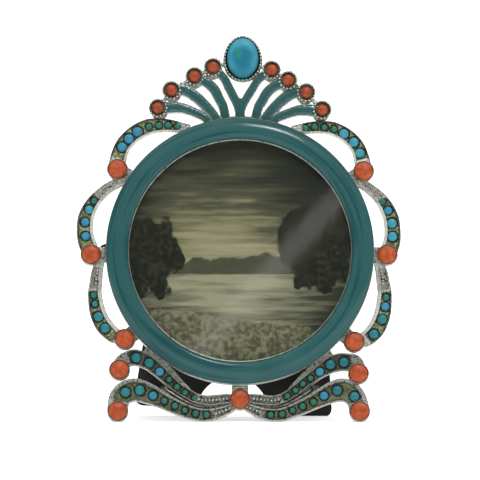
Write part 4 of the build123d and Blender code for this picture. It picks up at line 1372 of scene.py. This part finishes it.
ELEVATION = radians(3.1)
STREAK_AT, STREAK_SLANT, STREAK_FAR = Vector((10.0, -3.5, 3.06)), radians(48), 0.5
STREAK_SIZE, STREAK_POWER = (0.09, 0.0055), 0.0027
to_camera = Vector((0, -cos(ELEVATION), sin(ELEVATION)))
mirrored = (2 * OUT.dot(to_camera) * OUT - to_camera).normalized()
streak_spot = PANEL @ STREAK_AT
streak = softbox("streak", streak_spot + mirrored * STREAK_FAR, STREAK_SIZE, STREAK_POWER, aim=streak_spot)
streak.rotation_euler.rotate_axis("Z", STREAK_SLANT)
print("lamps are set")

# %% Sky
SKY_LOW, SKY_HIGH, BACKDROP = grey(0.18), grey(1.65), grey(1.0)

world = bpy.data.worlds.new("studio")
bpy.context.scene.world = world
world.use_nodes = True
world.node_tree.nodes.clear()
air = Tone(world.node_tree)
shown = air.make("ShaderNodeLightPath", out="Is Camera Ray")
height = air.make("ShaderNodeTexCoord", out="Generated").axes()
sky = air.mix(height[2].rise(0.25, 0.95), SKY_LOW, SKY_HIGH)
light = air.mix(shown, sky, BACKDROP)
backdrop = air.make("ShaderNodeBackground", None, {"Color": light})
air.make("ShaderNodeOutputWorld", None, {"Surface": backdrop})
bpy.context.scene.view_settings.view_transform = "Standard"
print("sky is set")

# %% [markdown]
# ## The camera
#
# The camera stands a little above the frame's middle and far off, so that the ring looks round. Its
# distance and lens are set so that one picture width is the span measured at the ring.

# %% Camera
DISTANCE = 3.5
PICTURE_WIDTH, MM_PER_PIXEL = 480, 0.2273
SPAN = PICTURE_WIDTH * MM_PER_PIXEL * MM
SENSOR = 36.0
AIM_ABOVE = 2.83

view_up = Vector((0, sin(ELEVATION), cos(ELEVATION)))
aim = ring_centre + view_up * AIM_ABOVE * MM
camera_data = bpy.data.cameras.new("camera")
camera_data.sensor_width = SENSOR
camera_data.lens = SENSOR * DISTANCE / SPAN
camera_data.clip_start = 0.01
camera = bpy.data.objects.new("camera", camera_data)
camera.location = aim + to_camera * DISTANCE
camera.rotation_euler = (aim - camera.location).to_track_quat("-Z", "Y").to_euler()
bpy.context.scene.collection.objects.link(camera)
bpy.context.scene.camera = camera
print("lens", round(camera_data.lens, 1), "mm at", DISTANCE, "m")

# %% [markdown]
# ## Size
#
# At the end the dressed model's box is set beside the CAD model's, and how much it grew at its high corner
# is printed.

# %% Sizes and finish
new_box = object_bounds()
grown = [round((b - a) / MM, 2) for a, b in zip(cad_box[1], new_box[1])]
print("box grew by", grown, "mm at its high corner")
